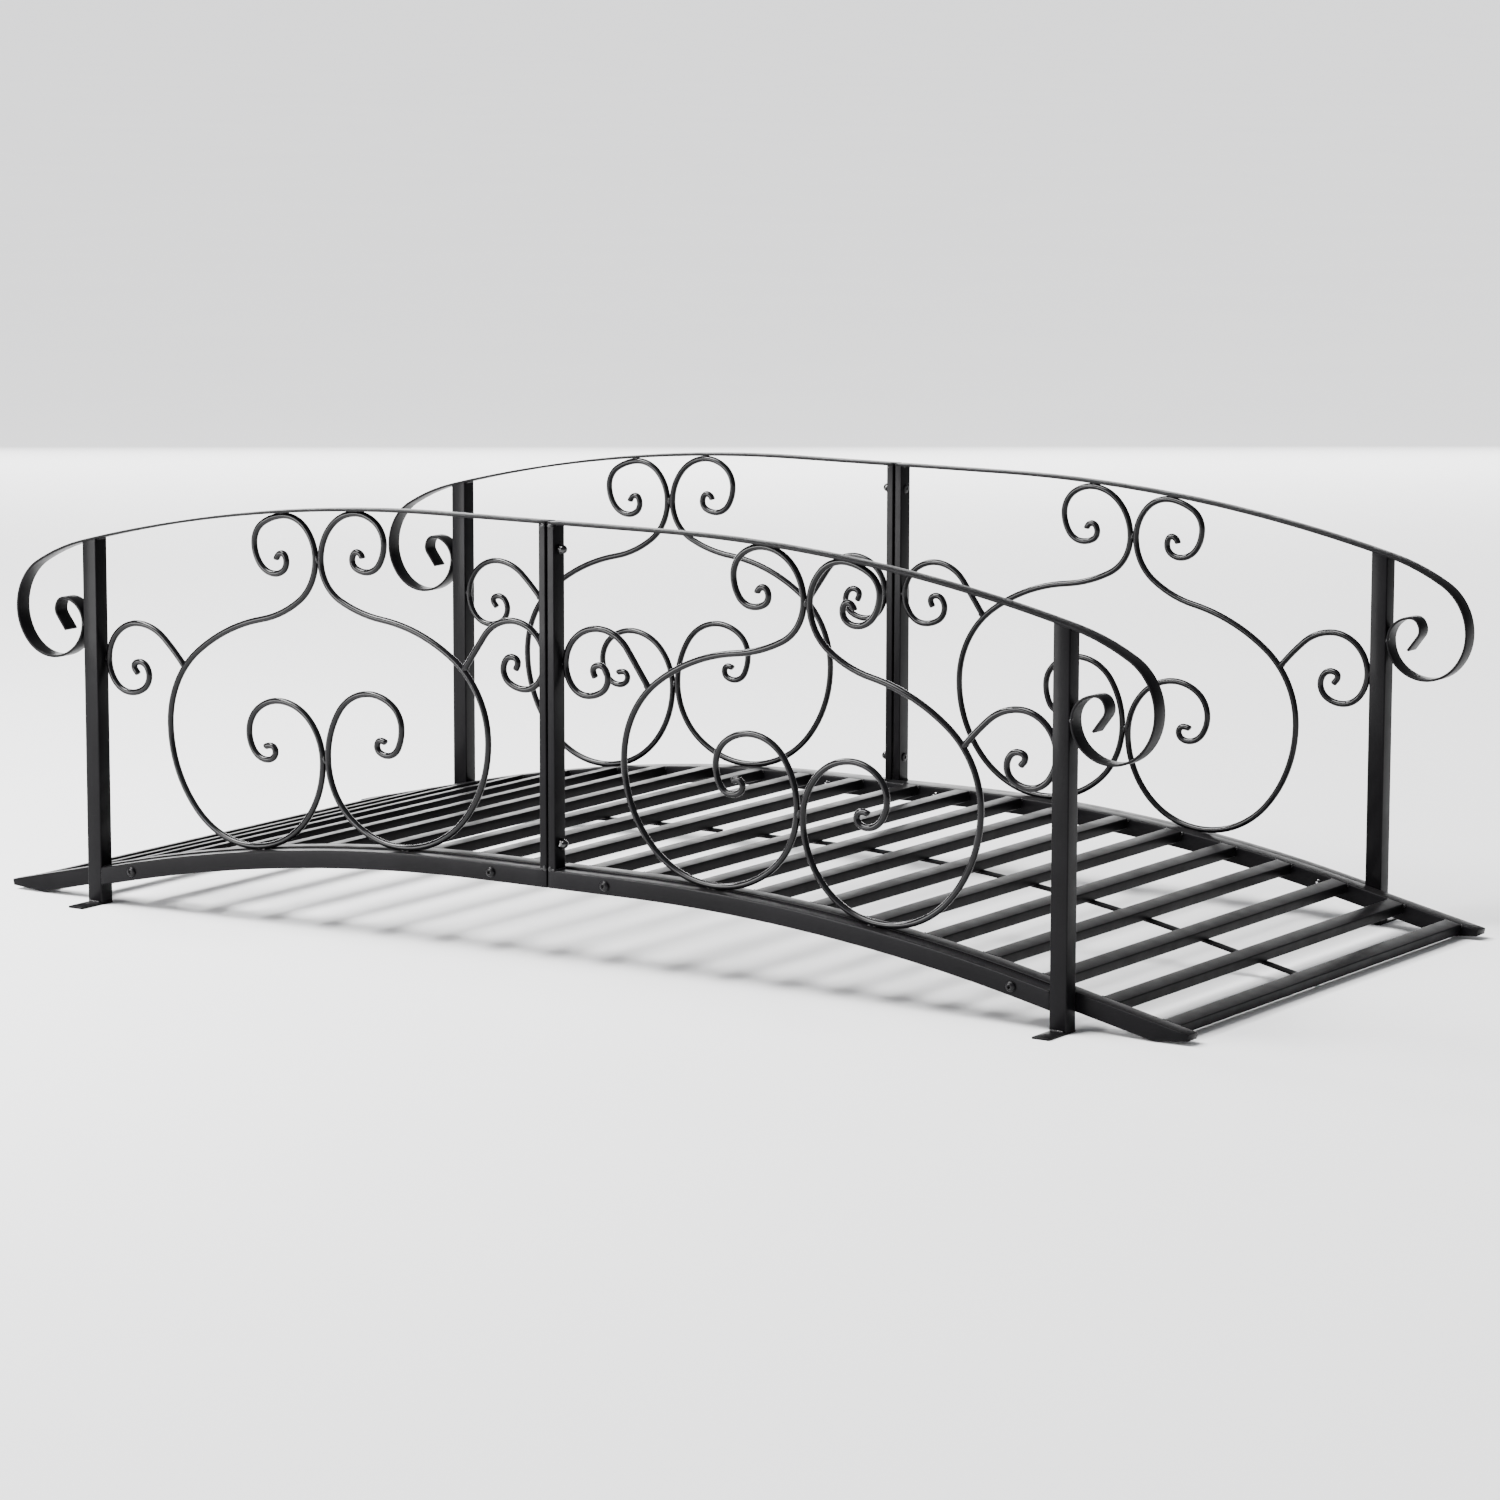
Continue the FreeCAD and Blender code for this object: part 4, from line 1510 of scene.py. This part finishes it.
@dataclass
class Fasteners:
    """Button-head screws and dome nuts.

    Attributes:
        plan: Shared sizes.
        screw_x: Where the deck is bolted to the lower bars.
        post_z: Heights of the bolts through the centre posts.
        flats: Width across the flats of a nut.
        nut_height: Height of a dome nut.
        hexagon: Share of that height below the cap.
        head: Radius and height of a button head.
        socket: Width across the flats of its socket, and its depth.
        low_form: Width and height of a low head, as shares of a button head's.
        chamfer: Breadth of the small chamfers.
        sides: Points of a turned ring.
        steps: Rings of a rounded top.
        seeds: Seeds of the screws, the nuts and the post bolts of the first quarter.
    """

    plan: Plan
    screw_x: tuple[float, float] = (0.094, 0.722)
    post_z: tuple[float, float] = (0.166, 0.565)
    flats: float = 0.013
    nut_height: float = 0.0118
    hexagon: float = 0.46
    head: tuple[float, float] = (0.0071, 0.0044)
    socket: tuple[float, float] = (0.005, 0.0026)
    low_form: tuple[float, float] = (0.95, 0.5)
    chamfer: float = 0.0004
    sides: int = 48
    steps: int = 8
    seeds: tuple[int, int, int] = (3, 13, 23)

    @staticmethod
    def corner(flats: float) -> float:
        """Middle to corner of a hexagon, from its width across the flats."""
        return flats / 2 / math.cos(math.pi / 6)

    def button_head(self) -> bpy.types.Mesh:
        """A button head with a hexagon socket."""
        radius, height = self.head
        key, depth = self.socket
        corner, ease = self.corner(key), self.chamfer
        shoulder = 2 * ease
        outside = [(radius * 0.97, 0.0), (radius, ease), (radius, 0.0011)]
        for step in range(1, self.steps + 1):
            turn = math.radians(11.0 + 8.2 * step)
            outside.append((radius * math.cos(turn) ** 0.72,
                            shoulder + (height - shoulder) * math.sin(turn) ** 0.9))
        outside = [ring for ring in outside if ring[0] > corner + ease] + [(corner + ease, height)]
        hole = [(corner, height - ease / 2), (corner, height - ease), (corner, height - depth),
                (corner * 0.6, height - depth - ease)]
        rings = outside + hole + [(0.0003, height - depth - shoulder)]
        return lathe(rings, self.sides, key, range(len(outside), len(outside) + len(hole)))

    def low_head(self) -> bpy.types.Mesh:
        """The button head in its low form, for the far end of a post bolt."""
        wide, high = self.low_form
        mesh = self.button_head()
        mesh.transform(Matrix.Diagonal((wide, wide, high, 1.0)))
        return mesh

    def dome_nut(self) -> bpy.types.Mesh:
        """A dome nut: a chamfered hexagon under a smooth cap."""
        wide, half = self.corner(self.flats), self.flats / 2
        high = self.nut_height * self.hexagon
        hexagon = [(half * 0.96, 0.0), (wide * 0.985, 0.0006), (wide, 0.0010),
                   (wide, high - 0.0012), (wide * 0.975, high - 0.0006), (half * 0.97, high)]
        dome = half * 0.95
        cap = [(dome, high + 0.0001)]
        for step in range(1, self.steps + 1):
            turn = math.radians(11.0 * step)
            cap.append((max(0.0003, dome * math.cos(turn)),
                        high + self.chamfer + (self.nut_height - high) * math.sin(turn)))
        return lathe(hexagon + cap, self.sides, self.flats, range(len(hexagon)))

    def build(self, recipes: Recipes, finishes: Finishes) -> None:
        """Makes the fasteners of all four quarters."""
        plan = self.plan
        outer, inner = -plan.half_width, -(plan.inner_face - plan.seam - plan.bar)
        screws, nuts = [], []
        for x in self.screw_x:
            slope = plan.bar_line.slope(x)
            middle = Vector((x, 0, plan.bar_line.height(x))) + normal(-slope) * (plan.bar / 2)
            screws.append((Vector((middle.x, outer, middle.z)), Vector((0, -1, 0))))
            nuts.append((Vector((middle.x, inner, middle.z + plan.deck_lift / 2)),
                         Vector((0, 1, 0))))
        post = [(Vector((plan.centre_face_x, plan.post_y, z)), Vector((1, 0, 0)))
                for z in self.post_z]
        button, low, dome = self.button_head(), self.low_head(), self.dome_nut()
        make = recipes.fasteners.rows
        for index, quarter in enumerate(Quarter):
            screw_seed, nut_seed, post_seed = (seed + index for seed in self.seeds)
            heads = [make(button, screws, screw_seed, finishes.screw)]
            domes = [make(dome, nuts, nut_seed, finishes.nut)]
            if quarter in (Quarter.FRONT_RIGHT, Quarter.BACK_LEFT):
                domes.append(make(dome, post, post_seed, finishes.nut))
            else:
                heads.append(make(low, post, post_seed, finishes.screw))
            for meshes, name in ((heads, "screws_"), (domes, "dome_nuts_")):
                finished(mirrored(joined(meshes), quarter), name + quarter.tag, Slot.TUBE)


@dataclass
class Welds:
    """Beads and tacks where the pieces meet.

    Attributes:
        plan: Shared sizes.
        scrolls: The scrollwork, for where its bars touch.
        rail: The hand rail, for where its volute touches.
        deck: The deck, for its slat ends.
        wide: Width of a bead.
        pitch: Length of a ripple.
        depth: How much wider a bead is at a ripple's middle, as a share.
        foot_wide: Width of the bead along a foot plate.
        proud: How far a bead's line stands off the faces that it joins.
        ends: How far most beads stop from a tube's edge.
        inset: Upright beads beside a lower bar, in from its faces.
        lump: How uneven a tack is.
        sunk: Centre line of a rod to a tack beside it, in diameters.
        along: Each of two tacks on the lower bar to the middle of the touch.
        aside: Tacks where two rods touch, off their plane.
        touch_up: Heights of those tacks up the panel, top and bottom.
        crotch: Tack of a branch, outwards and up from the branch's start.
        bead_seed: Seed of the first bead; each later one's is one more.
        tack_seed: Seed of the tacks.
    """

    plan: Plan
    scrolls: Scrollwork
    rail: HandRail
    deck: Deck
    wide: float = 0.0032
    pitch: float = 0.0018
    depth: float = 0.22
    foot_wide: float = 0.0042
    proud: float = 0.0004
    ends: float = 0.003
    inset: float = 0.0012
    lump: float = 0.0009
    sunk: float = 0.42
    along: float = 0.004
    aside: float = 0.0022
    touch_up: tuple[float, float] = (0.855, 0.263)
    crotch: tuple[float, float] = (0.0042, 0.0036)
    bead_seed: int = 40
    tack_seed: int = 5

    def lines(self) -> list[tuple[Triple, Triple, float]]:
        """Start, end and width of every bead of one quarter."""
        plan, ends = self.plan, self.ends
        outer, inner = -plan.half_width, -plan.inner_face
        end_x, side = plan.post_inner_x - self.proud, plan.centre_face_x + self.proud
        foot_y, foot_z = outer - 0.0006, plan.tab_thick + 0.0006
        base_y, base_z = outer + 0.0008, plan.bar_line.crown + plan.bar + 0.0003
        top = plan.bar_top(end_x) + self.proud
        found = [((plan.post_inner_x + ends, foot_y, foot_z),
                  (plan.half_length - ends, foot_y, foot_z), self.foot_wide)]
        for y in (outer + self.inset, inner - self.inset):
            found.append(((end_x, y, plan.bar_line.height(end_x) + ends),
                          (end_x, y, plan.bar_top(end_x) - ends), self.wide * 0.7))
        found += [((end_x, outer + ends, top), (end_x, inner - ends, top), self.wide),
                  ((side, outer + 0.002, base_z), (side, inner - 0.002, base_z), self.wide),
                  ((plan.joint_gap / 2 + 0.002, base_y, base_z), (side - 0.001, base_y, base_z),
                   self.wide)]
        for x in (end_x, plan.half_length + self.proud, side):
            under = plan.rail_under(x) - self.proud
            found.append(((x, outer + 0.004, under), (x, inner - 0.004, under), self.wide * 0.85))
        return found

    def beads(self, recipes: Recipes, material: bpy.types.Material) -> list[bpy.types.Mesh]:
        """The longer beads of one quarter."""
        return [recipes.bead.make(wire_mesh([Vector(start), Vector(end)]), Bead_Width=wide,
                                  Ripple_Pitch=self.pitch, Ripple_Depth=self.depth,
                                  Seed=self.bead_seed + i, Material=material)
                for i, (start, end, wide) in enumerate(self.lines())]

    def rod_tacks(self) -> list[tuple[Triple, Tack]]:
        """Place and kind of the tacks that hold the scrolls."""
        plan, y = self.plan, self.plan.rod_y
        sunk = plan.rod * self.sunk
        found = []
        for share in self.scrolls.on_bar:
            x, z, _ = plan.on_bar(share, True)
            found += [((x - self.along, y, z - sunk), Tack.BAR_INNER),
                      ((x + self.along, y, z - sunk), Tack.BAR_OUTER)]
        for share in self.scrolls.under_rail:
            x, z, _ = plan.under_rail(share, True)
            found.append(((x, y, z + sunk), Tack.RAIL))
        for across, up in zip((self.scrolls.touch_top, self.scrolls.touch_low), self.touch_up):
            x = plan.across(across)
            z = plan.up(x, up)
            found += [((x, y - self.aside, z), Tack.TOUCH_FRONT),
                      ((x, y + self.aside, z + 0.001), Tack.TOUCH_BACK)]
        out, above = self.crotch
        for start, side in zip(self.scrolls.starts(), (-1.0, 1.0)):
            found.append(((start.x + side * out, y, start.z + above), Tack.BRANCH))
        return found

    def post_tacks(self) -> list[tuple[Triple, Tack]]:
        """Place and kind of the tacks on the posts."""
        plan, outer = self.plan, -self.plan.half_width
        joint, base = plan.joint_gap / 2, plan.bar_line.crown + plan.bar
        found = [((joint + 0.0030, outer + 0.0002, base + 0.0012), Tack.JOINT_LOW),
                 ((joint + plan.half_post * 0.5, outer + 0.0004, plan.rail_under(joint) - 0.0024),
                  Tack.JOINT_TOP)]
        faces = (plan.centre_face_x + 0.0006, plan.post_inner_x - 0.0006)
        for x, branch in zip(faces, self.scrolls.branches()):
            found.append(((x, plan.rod_y, branch.stations[2][1]), Tack.POST))
        meet = next(z for _, z, heading in self.rail.line().stations if heading == 90.0)
        for y in (outer + 0.0025, -plan.inner_face - 0.0025):
            found.append(((plan.half_length + 0.0012, y, meet), Tack.VOLUTE))
        return found

    def slat_tacks(self) -> list[tuple[Triple, Tack]]:
        """Place and kind of the tacks at the slats' front ends."""
        found = []
        for x in self.deck.slat_x:
            slope = math.radians(self.plan.bar_line.slope(x))
            for side in (-1.0, 1.0):
                offset = side * (self.deck.slat[0] / 2 + self.proud)
                found.append(((x + offset * math.cos(slope), -self.deck.slat_half - 0.0002,
                               self.deck.top(x) - offset * math.sin(slope) - 0.0022),
                              Tack.SLAT))
        return found

    def build(self, recipes: Recipes, finishes: Finishes) -> None:
        """Makes the welds of all four quarters."""
        tacks = self.rod_tacks() + self.post_tacks() + self.slat_tacks()
        spots = spots_mesh([Vector(spot) for spot, _ in tacks], "size",
                           [Vector(tack.value) for _, tack in tacks])
        lumps = recipes.tack.make(spots, Lump=self.lump, Seed=self.tack_seed,
                                  Material=finishes.weld)
        whole = joined(self.beads(recipes, finishes.weld) + [lumps])
        place_all(Slot.TUBE, (whole, "welds", ""))


# -------------------------------------------------------------------- stage
def hang(light: bpy.types.Light, way: Vector) -> bpy.types.Object:
    """Puts a light in the scene, pointing along a direction."""
    lamp = linked(light.name, light)
    lamp.rotation_euler = way.to_track_quat("-Z", "Y").to_euler()
    return lamp


@dataclass(frozen=True)
class SoftBox:
    """One rectangular area light.

    Attributes:
        name: Name of the light.
        spot: Its place.
        target: What it faces.
        size: Width and height.
        power: Power in watts.
    """

    name: str
    spot: Triple
    target: Triple
    size: tuple[float, float]
    power: float

    def build(self) -> None:
        """Hangs the light."""
        data = bpy.data.lights.new(self.name, "AREA")
        data.shape = "RECTANGLE"
        data.size, data.size_y = self.size
        data.energy = self.power
        lamp = hang(data, Vector(self.target) - Vector(self.spot))
        lamp.location = self.spot
        lamp.visible_camera = False


@dataclass
class Studio:
    """Floor, lights and camera.

    Attributes:
        eye: Place of the camera.
        aim: Its rotation, in radians.
        lens: Focal length in millimetres.
        sensor: Sensor width in millimetres.
        floor_half: Half the width of the floor.
        floor_tones: Colours of the floor's two faint clouds.
        floor_roughness: The floor's roughness.
        sky_colour: Colour of the sky.
        sky_strength: Its strength.
        key_power: Strength of the key light.
        key_angle: How broad the key light is, in degrees.
        key_way: Direction in which it shines.
        boxes: The soft boxes.
    """

    eye: Triple = (4.1526, -6.2745, 1.4424)
    aim: Triple = (1.41154965, -0.0018686, 0.58172542)
    lens: float = 129.5855
    sensor: float = 36.0
    floor_half: float = 60.0
    floor_tones: tuple[Colour, Colour] = ((0.86, 0.86, 0.87, 1.0), (0.90, 0.90, 0.90, 1.0))
    floor_roughness: float = 0.9
    sky_colour: Colour = (0.95, 0.96, 1.0, 1.0)
    sky_strength: float = 0.30
    key_power: float = 6.5
    key_angle: float = 30.0
    key_way: Triple = (0.40, 0.50, -1.0)
    boxes: tuple[SoftBox, ...] = (
        SoftBox("front_box", (-2.9, -4.4, 1.0), (0.0, -0.3, 0.3), (2.8, 1.6), 330.0),
        SoftBox("top_strip", (-2.3, -0.9, 3.2), (-0.2, 0.0, 0.2), (3.0, 0.26), 330.0),
        SoftBox("back_wall", (-3.6, 5.2, 0.95), (0.0, 0.0, 0.3), (6.0, 1.5), 210.0),
    )

    def build(self) -> None:
        """Sets the stage."""
        self.camera()
        self.floor()
        self.lights()

    def camera(self) -> None:
        """The camera, with no shift and no depth of field."""
        data = bpy.data.cameras.new("view")
        data.lens = self.lens
        data.sensor_width = self.sensor
        data.clip_end = 100.0
        eye = linked("view", data)
        eye.location = self.eye
        eye.rotation_euler = self.aim
        bpy.context.scene.camera = eye

    def floor(self) -> None:
        """A wide pale floor."""
        mesh = bpy.data.meshes.new("studio_floor")
        half = self.floor_half
        corners = [(x * half, y * half, 0) for x, y in ((-1, -1), (1, -1), (1, 1), (-1, 1))]
        mesh.from_pydata(corners, [], [(0, 1, 2, 3)])
        material = bpy.data.materials.new("pale_floor")
        material.use_nodes = True
        shader = material.node_tree.nodes["Principled BSDF"]
        place_at = material.node_tree.nodes.new("ShaderNodeTexCoord").outputs["Object"]
        cloud = PowderCoat.noise(material.node_tree, place_at, Grain.CLOUD)
        tone = PowderCoat.blend(material.node_tree, cloud, *self.floor_tones)
        material.node_tree.links.new(tone, shader.inputs["Base Color"])
        shader.inputs["Roughness"].default_value = self.floor_roughness
        mesh.materials.append(material)
        linked("studio_floor", mesh)

    def lights(self) -> None:
        """A faint sky, soft boxes, and a broad key light from above, in front and to the left."""
        world = bpy.data.worlds.new("studio")
        world.use_nodes = True
        sky = world.node_tree.nodes["Background"]
        sky.inputs["Color"].default_value = self.sky_colour
        sky.inputs["Strength"].default_value = self.sky_strength
        bpy.context.scene.world = world
        key = bpy.data.lights.new("key_light", "SUN")
        key.energy = self.key_power
        key.angle = math.radians(self.key_angle)
        hang(key, Vector(self.key_way))
        for box in self.boxes:
            box.build()


def main() -> None:
    """Builds the bridge and its stage."""
    logging.basicConfig(level=logging.INFO, format="%(name)s: %(message)s")
    plan = Plan()
    finishes = Finishes.mix()
    recipes = Recipes.write()
    scrolls, rail, deck = Scrollwork(plan), HandRail(plan), Deck(plan)
    assemblies = (Posts(plan), LowerBars(plan), rail, scrolls, deck, Fasteners(plan),
                  Welds(plan, scrolls, rail, deck))
    for assembly in assemblies:
        assembly.build(recipes, finishes)
        log.info("%s is done", type(assembly).__name__)
    Studio().build()


if __name__ == "__main__":
    main()
